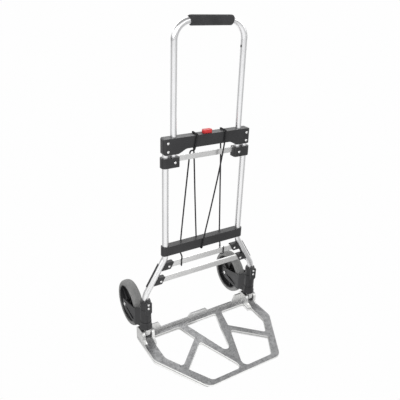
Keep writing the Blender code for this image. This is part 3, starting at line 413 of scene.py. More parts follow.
def sweep(name, path, radius, sides=32, wall=None):
    """A round bar or tube along a path, with UV in metres round it and along it."""
    points = [Vector(p) for p in path]
    radii = radius if isinstance(radius, list) else [radius] * len(points)
    shape = bmesh.new()
    uv = shape.loops.layers.uv.new("UVMap")
    along = tangents(points)
    side = along[0].orthogonal().normalized()
    skins = ([], [])
    lengths = [0.0]
    for i, (point, tangent) in enumerate(zip(points, along)):
        side = (side - tangent * side.dot(tangent)).normalized()
        other = tangent.cross(side)
        if i:
            lengths.append(lengths[-1] + (point - points[i - 1]).length)
        for skin, r in zip(skins, (radii[i], radii[i] - wall if wall else 0)):
            if r > 0:
                angles = [2 * math.pi * k / sides for k in range(sides)]
                spokes = [side * math.cos(a) + other * math.sin(a) for a in angles]
                skin.append([shape.verts.new(point + spoke * r) for spoke in spokes])
    girth = 2 * math.pi * max(radii)
    for skin in skins:
        for i in range(len(skin) - 1):
            for k in range(sides):
                n = (k + 1) % sides
                face = shape.faces.new((skin[i][k], skin[i][n], skin[i + 1][n], skin[i + 1][k]))
                places = ((k, i), (k + 1, i), (k + 1, i + 1), (k, i + 1))
                for loop, (a, b) in zip(face.loops, places):
                    loop[uv].uv = (girth * a / sides, lengths[b])
    for end in (0, -1):
        if wall:
            outer, inner = skins[0][end], skins[1][end]
            for k in range(sides):
                n = (k + 1) % sides
                shape.faces.new((outer[k], outer[n], inner[n], inner[k]))
        else:
            shape.faces.new(skins[0][end])
    bmesh.ops.recalc_face_normals(shape, faces=shape.faces)
    return new_object(name, shape)


def combine(obj, other, operation):
    """Adds a boolean step that frozen() or show() carries out."""
    modifier = obj.modifiers.new(other.name, "BOOLEAN")
    modifier.operation = operation
    modifier.object = other
    return obj


def cut(obj, *cutters):
    for cutter in cutters:
        combine(obj, cutter, "DIFFERENCE")
    return obj


def join(obj, *others):
    for other in others:
        combine(obj, other, "UNION")
    return obj


def upright_bore(obj, x, radius, low, high):
    cut(obj, cylinder("upright_bore", (x, 0, 0), radius, low, high, "Z", 40))


def bevel(obj, width, segments=3, angle=35):
    modifier = obj.modifiers.new("soft_edges", "BEVEL")
    modifier.width = width
    modifier.segments = segments
    modifier.limit_method = "ANGLE"
    modifier.angle_limit = math.radians(angle)
    return obj


def frozen(obj):
    """The object with its modifiers applied, so that a bevel doesn't see what is joined later."""
    mesh = solved(obj)
    obj.modifiers.clear()
    obj.data = mesh
    return obj


def mirrored(obj, name):
    """A copy of the shape on the other side of the object."""
    shape = bmesh.new()
    mesh = solved(obj)
    shape.from_mesh(mesh)
    bpy.data.meshes.remove(mesh)
    bmesh.ops.scale(shape, vec=(-1, 1, 1), verts=shape.verts)
    bmesh.ops.reverse_faces(shape, faces=shape.faces)
    return new_object(name, shape)


def show(obj, body, finish, sharp=38):
    """Finishes NAME_visual as a piece that rides on a body and stands for the CAD node NAME."""
    mesh = frozen(obj).data
    mesh.transform(Matrix.Translation(SHIFT))
    mesh.shade_smooth()
    mesh.set_sharp_from_angle(angle=math.radians(sharp))
    material, slot = FINISH[finish]
    mesh.materials.clear()
    mesh.materials.append(material)
    normals = obj.modifiers.new("flat_faces_stay_flat", "WEIGHTED_NORMAL")
    normals.keep_sharp = True
    scratch.remove(obj)
    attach(obj, body)
    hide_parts(obj.name.removesuffix("_visual"))


def show_pair(right, body, finish):
    """Shows a right-hand shape and its mirror image. {} in the body's name is the side."""
    left = mirrored(right, right.name.replace("right", "left"))
    show(left, body.format("left"), finish)
    show(right, body.format("right"), finish)


def arc_points(start, corner, end, radius, steps_per_quarter):
    """Points round a corner, on an arc that meets both of its straight sides."""
    before = (Vector(start) - Vector(corner)).normalized()
    after = (Vector(end) - Vector(corner)).normalized()
    if radius <= 0:
        return [Vector(corner)]
    between = before.angle(after)
    centre = Vector(corner) + (before + after).normalized() * radius / math.sin(between / 2)
    reach = radius / math.tan(between / 2)
    first = Vector(corner) + before * reach - centre
    last = Vector(corner) + after * reach - centre
    turn = math.pi - between
    steps = max(2, round(turn / (math.pi / 2) * steps_per_quarter))
    points = []
    for i in range(steps + 1):
        share = i / steps
        a = math.sin((1 - share) * turn) / math.sin(turn)
        b = math.sin(share * turn) / math.sin(turn)
        points.append(centre + first * a + last * b)
    return points


def rounded(corners, closed=True, steps=6):
    """Points along straight runs between corners whose last number is the corner's radius."""
    places = [corner[:-1] for corner in corners]
    points = []
    for i, corner in enumerate(corners):
        at_end = not closed and i in (0, len(corners) - 1)
        radius = 0 if at_end else corner[-1]
        start = places[i - 1]
        end = places[(i + 1) % len(places)]
        points += [tuple(p) for p in arc_points(start, places[i], end, radius, steps)]
    return points


def rectangle(x, y, radius, steps=6, middle=0):
    """A rounded rectangle with half sizes x and y, round a middle on the second axis."""
    corners = ((x, middle + y), (x, middle - y), (-x, middle - y), (-x, middle + y))
    return rounded([(*corner, radius) for corner in corners], steps=steps)


def both_sides(half):
    """Corners on the right, then the same corners mirrored, in turn round an outline."""
    return half + [(-corner[0], *corner[1:]) for corner in reversed(half)]


def smooth(points, steps=6):
    """A centripetal Catmull-Rom curve through the points."""
    points = [Vector(p) for p in points]
    ends = [2 * points[0] - points[1], *points, 2 * points[-1] - points[-2]]
    result = []
    for a, b, c, d in zip(ends, ends[1:], ends[2:], ends[3:]):
        t0 = 0.0
        t1 = t0 + math.sqrt((b - a).length)
        t2 = t1 + math.sqrt((c - b).length)
        t3 = t2 + math.sqrt((d - c).length)
        for i in range(steps):
            t = t1 + (t2 - t1) * i / steps
            p = a.lerp(b, (t - t0) / (t1 - t0))
            q = b.lerp(c, (t - t1) / (t2 - t1))
            r = c.lerp(d, (t - t2) / (t3 - t2))
            left = p.lerp(q, (t - t0) / (t2 - t0))
            right = q.lerp(r, (t - t1) / (t3 - t1))
            result.append(tuple(left.lerp(right, (t - t1) / (t2 - t1))))
    return [*result, tuple(points[-1])]


# ---- dimensions ----

LEG_X = 0.148
FOOT_X = 0.2248
LEG_RADIUS = 0.011
LEG_WALL = 0.0015
LEG_TOP = 0.746
LEG_BOTTOM = 0.0665
SPLAY_TOP = 0.333
SPLAY_BOTTOM = 0.2
SPLAY_BEND = 0.045
HANDLE_X = 0.1207
HANDLE_RADIUS = 0.0102
HANDLE_TOP = 1.0857
HANDLE_BOTTOM = 0.6635
HANDLE_BEND = 0.056
HANDLE_WALL = 0.0014
GRIP_HALF = 0.0722
GRIP_RADIUS = 0.015
SKIN = 0.0001  # how far a finely divided round surface stays inside its CAD solid
BEAM_TOP = 0.7525
BEAM_MIDDLE_BOTTOM = 0.7145
BEAM_END_BOTTOM = 0.7008
BEAM_HALF_WIDTH = 0.161
BEAM_HALF = 0.0155
PIN_Z = 0.736
TRAVEL = 0.275
PIN_HOLE_RADIUS = 0.0042
LOWER_BAR = (0.3425, 0.3765)
LOWER_BAR_HALF = 0.013
LOWER_BAR_HALF_WIDTH = 0.163
BAR_SCREW_Z = 0.3595
BLOCK_CORNER = 0.012
UPPER_CROSSBAR = (0.288, 0.3095)
LOWER_CROSSBAR = (0.236, 0.2575)
UPPER_CROSSBAR_HALF = 0.146
LOWER_CROSSBAR_HALF = 0.176
CROSSBAR_HALF = 0.004
CROSSBAR_WALL = 0.0015
SADDLE_THICKNESS = 0.0026
EAR_DEPTH = 0.0078
SLIDER = (0.6577, 0.69)
WHEEL_RADIUS = 0.087
WHEEL_TRAIL = 0.131
RIM_RADIUS = 0.0695
CHEEK_INNER = 0.0215
CHEEK_OUTER = 0.0255
COLLAR_BOTTOM = 0.0655
COLLAR_TOP = 0.1495
COLLAR_RADIUS = 0.0195
SLEEVE_TOP = 0.183
PAD_X = 0.2236
PAD_FRONT = 0.024
HUB_RIBS = 5
PLATE_TOP = 0.018
PLATE_HALF_WIDTH = 0.248
PLATE_BACK = 0.0175
PLATE_REACH = 0.304
PLATE_WALL = 0.0035
RIB_BOTTOM = 0.006
LIP_DEPTH = 0.038
LIP_THICKNESS = 0.006
HINGE_Y = -0.008
HINGE_Z = 0.046
HINGE_RADIUS = 0.003
EAR_INNER = 0.0115
EAR_OUTER = 0.0229
EAR_GAP = 0.0125


def leg_path(side, low=LEG_BOTTOM, high=LEG_TOP):
    """The middle of a leg tube: straight, splayed out between two bends, straight again."""
    corners = [(side * LEG_X, 0, high, 0), (side * LEG_X, 0, SPLAY_TOP, SPLAY_BEND)]
    corners += [(side * FOOT_X, 0, SPLAY_BOTTOM, SPLAY_BEND), (side * FOOT_X, 0, low, 0)]
    return rounded(corners, closed=False, steps=14)


def leg_bore(side, extra=GAP):
    return sweep("leg_bore", leg_path(side, -0.05, LEG_TOP + 0.002), LEG_RADIUS + extra)


RIVET_HEAD = ((0, 0.0023), (0.0014, 0.00225), (0.0027, 0.0019), (0.0037, 0.0013))
RIVET_HEAD += ((0.0043, 0.0006), (0.0045, 0))
RIVET_TAIL = ((0.0033, 0), (0.0034, 0.0005), (0.0028, 0.0012), (0.0018, 0.001), (0, 0.0006))
RIVET_SHANK = 0.0019


def rivet(name, x, z, front, back, body="frame"):
    """The whole rivet from its domed front head to its rolled tail."""
    head, tail = -(front - GAP), -(back + GAP)
    profile = [(r, head + h) for r, h in RIVET_HEAD]
    profile += [(RIVET_SHANK, head), (RIVET_SHANK, tail)]
    profile += [(r, tail - h) for r, h in RIVET_TAIL]
    show(turned(name + "_visual", profile, (x, 0, z), "Y", 28), body, "steel")


# ---- frame ----


def make_legs():
    for name, side in SIDES:
        leg = sweep(f"leg_tube_{name}_visual", leg_path(side), LEG_RADIUS, 40, LEG_WALL)
        show(leg, "frame", "leg")


def beam_outline():
    """The upper crosspiece from in front: deep ends and a shallow middle."""
    right = [(BEAM_HALF_WIDTH, BEAM_TOP, 0.008), (BEAM_HALF_WIDTH, BEAM_END_BOTTOM, 0.008)]
    right += [(0.108, BEAM_END_BOTTOM, 0.014), (0.082, BEAM_MIDDLE_BOTTOM, 0.02)]
    return rounded(both_sides(right))


BEAM_RIVET_X = 0.1455
SCREW_HEAD = ((0, 0.001), (0.001, 0.001), (0.0012, 0.0022), (0.003, 0.0018))
SCREW_HEAD += ((0.0036, 0.0006), (0.0036, 0))
SCREW_RADIUS = 0.0015


def make_beam():
    """The two halves of the upper crosspiece, hollow for the lock, and their rivets."""
    for which, low, high in (("front", -BEAM_HALF, -GAP / 2), ("rear", GAP / 2, BEAM_HALF)):
        name = f"beam_{which}_cover"
        cover = flat(name + "_visual", [beam_outline()], -BEAM_HALF, BEAM_HALF, "XZ")
        plan = rectangle(BEAM_HALF_WIDTH + 0.0006, BEAM_HALF + 0.0006, BLOCK_CORNER, 8)
        combine(cover, flat("beam_plan", [plan], 0.65, 0.8), "INTERSECT")
        frozen(bevel(frozen(cover), 0.003, 4))
        other = (high, 0.03) if which == "front" else (-0.03, low)
        cut(cover, box("split", (-0.2, other[0], 0.6), (0.2, other[1], 0.8)))
        cut(cover, box("lock_hollow", (-0.1055, -0.0125, 0.7185), (0.1055, 0.0125, 0.7487)))
        cut(cover, box("button_opening", (-0.0159, -0.0089, 0.743), (0.0159, 0.0089, 0.76)))
        for side in (1, -1):
            upright_bore(cover, side * HANDLE_X, HANDLE_RADIUS + SLIDING_GAP, 0.68, 0.78)
            cut(cover, leg_bore(side))
        bevel(cover, 0.0004, 1, 50)
        show(cover, "frame", "black")
    for name, side in SIDES:
        for where, z in (("upper", 0.7385), ("lower", 0.7115)):
            rivet(f"beam_rivet_{name}_{where}", side * BEAM_RIVET_X, z, -BEAM_HALF, BEAM_HALF)


def make_lower_bar():
    """The lower crosspiece, open underneath with thin ribs, and its two screws."""
    low, high = LOWER_BAR
    half = LOWER_BAR_HALF
    plan = rectangle(LOWER_BAR_HALF_WIDTH, half, BLOCK_CORNER, 8)
    bar = flat("lower_bar_visual", [plan], low, high)
    frozen(bevel(bar, 0.0027, 4))
    inside = half - 0.003
    hollow = box("bar_hollow", (-0.128, -inside, low - 0.01), (0.128, inside, high - 0.003))
    for i in range(-3, 4):
        x, half_rib = i * 0.036, 0.0009
        cut(hollow, box("bar_rib", (x - half_rib, -0.02, low + 0.002), (x + half_rib, 0.02, high)))
    cut(bar, hollow)
    for name, side in SIDES:
        cut(bar, leg_bore(side))
        head = -(half + GAP)
        profile = [(r, head - h) for r, h in SCREW_HEAD]
        profile += [(SCREW_RADIUS, head), (SCREW_RADIUS, -0.0085), (0, -0.0075)]
        place = (side * LEG_X, 0, BAR_SCREW_Z)
        screw = turned(f"lower_bar_screw_{name}_visual", profile, place, "Y", 28)
        show(screw, "frame", "steel")
    bevel(bar, 0.0004, 1, 50)
    show(bar, "frame", "black")


CROSSBARS = {
    "crossbar_upper": (UPPER_CROSSBAR_HALF, UPPER_CROSSBAR),
    "crossbar_lower": (LOWER_CROSSBAR_HALF, LOWER_CROSSBAR),
}


def make_crossbars():
    """Flat tubes with their walls, open at the ends inside the brackets."""
    for name, (reach, (low, high)) in CROSSBARS.items():
        middle, half = (low + high) / 2, (high - low) / 2
        skin = rectangle(CROSSBAR_HALF, half, 0.0018, 6, middle)
        hollow = rectangle(CROSSBAR_HALF - CROSSBAR_WALL, half - CROSSBAR_WALL, 0.0006, 6, middle)
        bar = flat(name + "_visual", [skin, hollow], -reach, reach, "YZ")
        show(bar, "frame", "bar")


UPPER_EAR = ((0.116, 0.3125, 0.004), (0.155, 0.3125, 0.001))
UPPER_EAR += ((0.17, 0.285, 0.001), (0.1305, 0.285, 0.004))
LOWER_EAR = ((0.149, 0.2605, 0.004), (0.185, 0.2605, 0.001))
LOWER_EAR += ((0.2, 0.233, 0.001), (0.164, 0.233, 0.004))
SADDLE_ENDS = (0.3045, 0.2275)


def make_brackets():
    """Saddles behind the splayed legs, each with two ears that hold the crossbars."""
    slope = (FOOT_X - LEG_X) / (SPLAY_TOP - SPLAY_BOTTOM)
    ends = [(LEG_X + (SPLAY_TOP - z) * slope, 0, z) for z in SADDLE_ENDS]
    bracket = sweep("leg_bracket_right_visual", ends, LEG_RADIUS + SADDLE_THICKNESS, 40)
    cut(bracket, box("saddle_front", (0, -0.05, 0.1), (0.4, -0.001, 0.4)))
    for corners in (UPPER_EAR, LOWER_EAR):
        ear = flat("ear", [rounded(corners)], -EAR_DEPTH, EAR_DEPTH, "XZ")
        join(bracket, frozen(bevel(ear, 0.0008, 2)))
    cut(bracket, leg_bore(1))
    depth = CROSSBAR_HALF + GAP
    for reach, (low, high) in CROSSBARS.values():
        cut(bracket, box("pocket", (0, -depth, low - GAP), (reach + GAP, depth, high + GAP)))
    bevel(bracket, 0.0003, 1, 50)
    show_pair(bracket, "frame", "black")
    for name, side in SIDES:
        for where, x, z in (("upper", 0.136, 0.2955), ("lower", 0.167, 0.2435)):
            rivet(f"bracket_rivet_{name}_{where}", side * x, z, -EAR_DEPTH, EAR_DEPTH)


def make_sleeves():
    """Fixed sleeves above the fork collars, each with a riveted pad in front."""
    low = COLLAR_TOP + 0.0006
    top = SLEEVE_TOP
    profile = [(0.0128, top), (0.016, top), (0.0168, top - 0.0007), (0.0174, top - 0.004)]
    profile += [(0.0186, top - 0.006), (0.0188, top - 0.008), (0.0188, low + 0.0008)]
    profile += [(0.0181, low), (0.0128, low)]
    place = (FOOT_X, 0, 0)
    sleeve = turned("leg_sleeve_right_visual", profile, place, steps=48, closed=True)
    half_pad = [(0.006, 0.133, 0.003), (0.0125, 0.14, 0.004), (0.0125, 0.184, 0.005)]
    pad = [(PAD_X - x, z, r) for x, z, r in reversed(half_pad)]
    pad += [(PAD_X + x, z, r) for x, z, r in half_pad]
    plate = flat("pad", [rounded(pad)], -PAD_FRONT, -COLLAR_RADIUS - 0.0006, "XZ")
    join(sleeve, frozen(bevel(plate, 0.0012, 3)))
    root = ((PAD_X - 0.0105, -0.022, low + 0.0002), (PAD_X + 0.0105, -0.012, 0.181))
    join(sleeve, box("pad_root", *root))
    join(sleeve, cylinder("liner", place, 0.014, low + 0.0001, top - 0.0005, "Z", 40))
    upright_bore(sleeve, FOOT_X, LEG_RADIUS + GAP, 0.1, 0.2)
    show_pair(sleeve, "frame", "black")
    for name, side in SIDES:
        for where, z in (("upper", 0.175), ("lower", 0.16)):
            rivet(f"sleeve_rivet_{name}_{where}", side * PAD_X, z, -PAD_FRONT, 0.019)


FOOT_HALF = 0.0095
FOOT_TAPER = ((-0.0096, 0.066), (0.0096, 0.066), (0.006, 0.033), (-0.006, 0.033))


def make_feet():
    """Cast tongues in the leg ends, tapered towards the eye that the toe plate hinges on."""
    top = COLLAR_BOTTOM - 0.0008
    eye = 0.0112
    near, far, below = HINGE_Y - eye, HINGE_Y + eye, HINGE_Z - eye
    outline = [(near, top, 0.001), (near, below, eye - 0.0004)]
    outline += [(far, below, eye - 0.0004), (0.016, top, 0.001)]
    side_view = rounded(outline, steps=10)
    foot = flat("foot_right_visual", [side_view], FOOT_X - FOOT_HALF, FOOT_X + FOOT_HALF, "YZ")
    taper = [(FOOT_X + x, z) for x, z in FOOT_TAPER]
    combine(foot, flat("foot_taper", [taper], -0.05, 0.05, "XZ"), "INTERSECT")
    show_pair(bevel(frozen(foot), 0.0009, 2), "frame", "cast")


# ---- cord ----

CORD_OUT = BEAM_HALF + 0.0032
CORD_BY_BAR = LOWER_BAR_HALF + 0.0032
CORD_RADIUS = 0.0025
HOOK_OUT = 0.0066
HOOK_END = {"left": (-0.0868, -HOOK_OUT), "right": (0.079, HOOK_OUT)}
HOOK_TIP_X = {"left": -0.084, "right": 0.0875}
HOOK_TIP_Z = {"left": 0.302, "right": 0.315}


def round_the_beam(x, drift, z, near, turn, forward):
    """Five points over or under a crosspiece at height z, from one face to the other."""
    inner = near - 0.001
    steps = [(-near, 0.001), (-inner, -0.0022), (0, -0.003), (inner, -0.0022), (near, 0.001)]
    if not forward:
        steps = [(-y, dz) for y, dz in steps]
    return [(x + drift * i, y, z - turn * dz) for i, (y, dz) in enumerate(steps)]


def cord_route():
    """The same route as the CAD cord's, from the left hook to the right one."""
    beam = BEAM_TOP
    bar = LOWER_BAR[0]
    route = [(*HOOK_END["left"], 0.317), (*HOOK_END["left"], 0.321)]
    route += [(-0.086, 0.006, 0.331), (-0.084, 0.0145, 0.3375)]
    route += [(-0.0812, CORD_BY_BAR, 0.35), (-0.0795, CORD_BY_BAR, 0.38)]
    route += [(-0.07, 0.012, 0.52), (-0.06, 0.007, 0.66), (-0.058, 0.006, 0.686)]
    route += [(-0.0568, 0.0036, 0.6965), (-0.0555, -0.0045, 0.7015), (-0.054, -0.015, 0.7065)]
    route += [(-0.0525, -CORD_OUT - 0.0002, 0.717)]
    route += round_the_beam(-0.046, 0.0012, beam, CORD_OUT, 1, True)
    route += [(-0.0385, CORD_OUT, 0.72), (-0.0362, 0.0165, 0.685), (-0.028, 0.0155, 0.53)]
    route += [(-0.0185, CORD_BY_BAR, 0.38)]
    route += round_the_beam(-0.016, 0.001, bar, CORD_BY_BAR, -1, False)
    route += [(-0.006, -CORD_BY_BAR, 0.38), (0.02, -0.0155, 0.5), (0.045, -0.0165, 0.63)]
    route += [(0.0575, -CORD_OUT, 0.72)]
    route += round_the_beam(0.06, 0.001, beam, CORD_OUT, 1, True)
    route += [(0.0655, CORD_OUT, 0.72), (0.067, 0.0165, 0.685), (0.073, 0.0155, 0.53)]
    route += [(0.0795, CORD_BY_BAR, 0.38), (0.0802, CORD_BY_BAR, 0.35)]
    route += [(0.0796, 0.0145, 0.3375), (0.0792, 0.009, 0.328)]
    route += [(*HOOK_END["right"], 0.321), (*HOOK_END["right"], 0.317)]
    return route


FERRULE_TOP = 0.316
FERRULE = ((0, 0), (0.0026, 0), (0.0032, -0.0006), (0.0032, -0.0026), (0.0028, -0.0029))
FERRULE += ((0.0032, -0.0032), (0.0032, -0.0052), (0.0024, -0.0058), (0, -0.0058))
WIRE_RADIUS = 0.0017


def make_cord():
    """The elastic cord, and a wire hook with a crimped ferrule at each end of it."""
    cord = sweep("bungee_cord_visual", smooth(cord_route(), 6), CORD_RADIUS, 16)
    show(cord, "frame", "cord")
    for name, (x, y) in HOOK_END.items():
        tip_x = HOOK_TIP_X[name]
        low = UPPER_CROSSBAR[0] - HOOK_OUT
        turn = HOOK_OUT - 0.0006
        path = [(x, y, FERRULE_TOP, 0), (x, y, low, turn)]
        path += [(tip_x, -y, low, turn), (tip_x, -y, HOOK_TIP_Z[name], 0)]
        bends = rounded(path, closed=False, steps=8)
        hook = sweep(f"bungee_hook_{name}_visual", bends, WIRE_RADIUS, 16)
        join(hook, turned("ferrule", FERRULE, (x, y, FERRULE_TOP), steps=24))
        show(hook, "frame", "wire")


# ---- handle ----


def make_handle():
    """The U-shaped tube with its two pairs of lock holes."""
    half = [(HANDLE_X, 0, HANDLE_BOTTOM, 0), (HANDLE_X, 0, HANDLE_TOP, HANDLE_BEND)]
    path = rounded(both_sides(half), closed=False, steps=20)
    handle = sweep("handle_tube_visual", path, HANDLE_RADIUS, 40, HANDLE_WALL)
    for side in (1, -1):
        inner, outer = sorted((side * 0.1, side * HANDLE_X))
        for z in (PIN_Z, PIN_Z + TRAVEL):
            hole = cylinder("lock_hole", (0, 0, z), PIN_HOLE_RADIUS, inner, outer, "X", 28)
            cut(handle, hole)
    show(handle, "handle", "tube")


GRIP_DROOP = 7.5  # degrees at its ends


def make_grip():
    """The foam sleeve: rounded ends that droop with the tube's bends, and a bore for the tube."""
    start = HANDLE_X - HANDLE_BEND
    drop = (GRIP_HALF - start) * math.tan(math.radians(GRIP_DROOP))
    half = []
    for share in (1.0, 0.985, 0.96, 0.93, 0.88):
        x = GRIP_HALF * share
        fall = drop * max(0.0, (x - start) / (GRIP_HALF - start)) ** 2
        half.append((x, 0, HANDLE_TOP - fall))
    half += [(start * s, 0, HANDLE_TOP) for s in (0.9, 0.7, 0.45, 0.2)]
    radii = [GRIP_RADIUS - SKIN - d for d in (0.0016, 0.0005, 0, 0, 0, 0, 0, 0, 0)]
    path = both_sides(half)
    grip = sweep("handle_grip_visual", path, radii + radii[::-1], 56)
    longer = [(x * 1.1, y, z) for x, y, z in path]
    cut(grip, sweep("grip_bore", longer, HANDLE_RADIUS + GAP, 40))
    show(grip, "handle", "foam")


SLIDER_BAR = ((-0.1082, -0.0016, 0.672), (0.1082, 0.0016, 0.69))


def make_sliders():
    """The blocks that guide the handle on the leg tubes, and the flat bar between them."""
    half = BEAM_HALF
    corners = [(0.164, half, BLOCK_CORNER), (0.164, -half, BLOCK_CORNER)]
    corners += [(0.103, -half, 0.007), (0.103, half, 0.007)]
    slider = flat("slider_right_visual", [rounded(corners, steps=8)], *SLIDER)
    frozen(bevel(slider, 0.002, 3))
    upright_bore(slider, LEG_X, LEG_RADIUS + SLIDING_GAP, 0.6, 0.7)
    upright_bore(slider, HANDLE_X, HANDLE_RADIUS + GAP, HANDLE_BOTTOM - GAP, 0.7)
    cut(slider, box("bar_slot", (0.09, -0.0019, 0.6717), (0.1085, 0.0019, 0.7)))
    bevel(slider, 0.0004, 1, 50)
    show_pair(slider, "handle", "black")
    bar = bevel(box("slider_bar_visual", *SLIDER_BAR), 0.0007, 3)
    show(bar, "handle", "bar")
    for name, side in SIDES:
        rivet(f"slider_rivet_{name}", side * HANDLE_X, 0.674, -half, half, "handle")


def make_button():
    """The red button, with five grooves across its top and a flange that holds it in."""
    plan = rectangle(0.0155, 0.0085, 0.0035)
    button = flat("release_button_visual", [plan], 0.746, 0.763)
    frozen(bevel(button, 0.0024, 4, 60))
    for i in range(-2, 3):
        place = (i * 0.0042, 0, 0.7636)
        cut(button, cylinder("groove", place, 0.0012, -0.0058, 0.0058, "Y", 20))
    join(button, box("button_flange", (-0.0225, -0.0105, 0.7442), (0.0225, 0.0105, 0.7482)))
    show(button, "release_button", "red")


# ---- toe plate ----


CORNER_SLOPE = 0.097 / 0.175


def plate_outline(inset=0.0, front=PLATE_REACH):
    """The plate's edge, moved inwards by inset, with slanted front corners."""
    side = PLATE_HALF_WIDTH - inset
    slope = CORNER_SLOPE
    diagonal = inset * math.sqrt(1 + slope * slope)
    knee = -0.115 + inset * 0.265
    corner = side - (front - inset + knee) * slope - (diagonal - inset)
    half = [(side, PLATE_BACK - inset, 0.003), (side, knee, 0.04)]
    half += [(corner, -(front - inset), 0.032)]
    return rounded(both_sides(half), steps=14)


MIDDLE_WINDOW = [(0.067, -0.0052), (0.0, -0.224), (-0.067, -0.0052)]
BACK_WINDOW = [(0.093, -0.0062), (0.2115, -0.0066), (0.2115, -0.1247)]
BACK_WINDOW += [(0.1757, -0.1875), (0.0725, -0.087)]
FRONT_WINDOW = [(0.0657, -0.1106), (0.167, -0.208), (0.1205, -0.2862)]
FRONT_WINDOW += [(0.0085, -0.2866), (0.0085, -0.2615)]
MIDDLE_RADII = [0.006, 0.014, 0.006]
BACK_RADII = [0.012, 0.02, 0.03, 0.01, 0.005]
FRONT_RADII = [0.009, 0.004, 0.018, 0.016, 0.004]


def grown(corners, distance):
    """A polygon with every side moved outwards by distance."""
    area = sum(a[0] * b[1] - b[0] * a[1] for a, b in zip(corners, corners[1:] + corners[:1]))
    turn = 1 if area > 0 else -1
    result = []
    for i, corner in enumerate(corners):
        before = (Vector(corner) - Vector(corners[i - 1])).normalized()
        after = (Vector(corners[(i + 1) % len(corners)]) - Vector(corner)).normalized()
        out_before = Vector((before.y, -before.x)) * turn
        out_after = Vector((after.y, -after.x)) * turn
        shift = (out_before + out_after) * distance / (1 + out_before.dot(out_after))
        result.append((corner[0] + shift.x, corner[1] + shift.y))
    return result


def windows(distance=0.0):
    """The outlines of the plate's five windows, each grown by distance."""
    outlines = [(MIDDLE_WINDOW, MIDDLE_RADII)]
    for corners, radii in ((BACK_WINDOW, BACK_RADII), (FRONT_WINDOW, FRONT_RADII)):
        for side in (1, -1):
            outlines.append(([(side * x, y) for x, y in corners], radii))
    result = []
    for corners, radii in outlines:
        moved = grown(corners, distance) if distance else corners
        result.append(rounded([(*p, r + distance) for p, r in zip(moved, radii)], steps=6))
    return result


EAR_BRIDGE = [(-0.058, 0.01), (-0.058, 0.0172), (-0.03, 0.0285), (-0.017, 0.0322)]
EAR_BRIDGE += [(0.015, 0.0322), (0.015, 0.0), (-0.04, 0.0)]


def ear_outline():
    """The side view of the ears that carry the hinge."""
    eye = 0.0145
    top = HINGE_Z + eye
    corners = [(-0.038, 0.015, 0), (-0.024, 0.027, 0.004), (HINGE_Y - eye, top, eye - 0.0002)]
    corners += [(0.02, top, 0.004), (0.031, 0.052, 0.004)]
    corners += [(0.031, 0.0004, 0.002), (-0.038, 0.0004, 0.001)]
    return rounded(corners, steps=12)


def flange_outline():
    """The back flange from behind: high by the ears, with a raised middle."""
    right = [(0.033, 0.0425, 0.003), (0.0455, 0.029, 0.005), (0.157, 0.029, 0.006)]
    right += [(0.169, 0.0552, 0.004), (0.206, 0.0552, 0.001), (0.206, 0.004, 0)]
    return rounded(both_sides(right), steps=6)


PIN_PROFILE = [(0, 0.0012), (0.003, 0.0011), (0.0042, 0.0006), (0.0046, 0)]
PIN_PROFILE += [(HINGE_RADIUS, 0), (HINGE_RADIUS, -0.0465), (0, -0.0468)]
DECK_THICKNESS = 0.0035
FLANGE_THICKNESS = 0.0049


def make_underside():
    """What is hollowed out under the deck, between its ribs and short of its edges."""
    shapes = [plate_outline(PLATE_WALL), *windows(PLATE_WALL)]
    pocket = flat("underside", shapes, RIB_BOTTOM - 0.01, PLATE_TOP - DECK_THICKNESS)
    cut(pocket, box("pocket_front", (-0.3, -0.4, -0.05), (0.3, -0.2835, 0.05)))
    cut(pocket, box("pocket_back", (-0.3, -0.0095, -0.05), (0.3, 0.1, 0.05)))
    for side in (1, -1):
        low, high = sorted((side * 0.195, side * 0.26))
        cut(pocket, box("pocket_ears", (low, -0.042, -0.05), (high, 0.1, 0.05)))
    return pocket


def make_toe_plate():
    """The casting: deck with ribs, rim, back flange, ears, undercut lip and edge grooves."""
    deck = flat("toe_plate_visual", [plate_outline(0.0002), *windows()], RIB_BOTTOM, PLATE_TOP)
    cut(deck, make_underside())
    ring = [plate_outline(), plate_outline(PLATE_WALL + 0.0004, 0.29)]
    join(deck, flat("rim", ring, 0, PLATE_TOP - 0.0009))
    back = PLATE_BACK - 0.0003
    join(deck, flat("back_flange", [flange_outline()], back - FLANGE_THICKNESS, back, "XZ"))
    for side in (1, -1):
        for near, far in ((-EAR_INNER, -0.0232), (EAR_INNER, EAR_OUTER)):
            low, high = sorted((side * (FOOT_X + near), side * (FOOT_X + far)))
            join(deck, flat("ear", [ear_outline()], low, high, "YZ"))
        low, high = sorted((side * (FOOT_X - EAR_GAP), side * (FOOT_X + EAR_GAP)))
        cut(deck, box("foot_slot", (low, -0.0235, -0.05), (high, 0.06, 0.09)))
        join(deck, flat("ear_bridge", [EAR_BRIDGE], low - 0.0005, high + 0.0005, "YZ"))
    lip = PLATE_TOP - LIP_THICKNESS
    undercut = [(-PLATE_REACH + LIP_DEPTH, 0), (-PLATE_REACH, lip), (-0.33, lip)]
    undercut += [(-0.33, -0.02), (-0.266, -0.02)]
    cut(deck, flat("front_undercut", [undercut], -0.3, 0.3, "YZ"))
    outside = rounded(both_sides([(0.3, 0.1, 0), (0.3, -0.4, 0)]))
    cut(deck, flat("rim_groove", [outside, plate_outline(0.0014)], 0.0094, 0.0112))
    cut(deck, flat("window_groove", windows(0.0012), 0.0106, 0.0122))
    bevel(deck, 0.0005, 2, 30)
    show(deck, "toe_plate", "cast", sharp=45)
    for name, side in SIDES:
        points = PIN_PROFILE if side > 0 else flipped(PIN_PROFILE)
        place = (side * (FOOT_X + EAR_OUTER + GAP), HINGE_Y, HINGE_Z)
        pin = turned(f"hinge_pin_{name}_visual", points, place, "X", 28)
        show(pin, "toe_plate", "steel")


# ---- forks and wheels ----


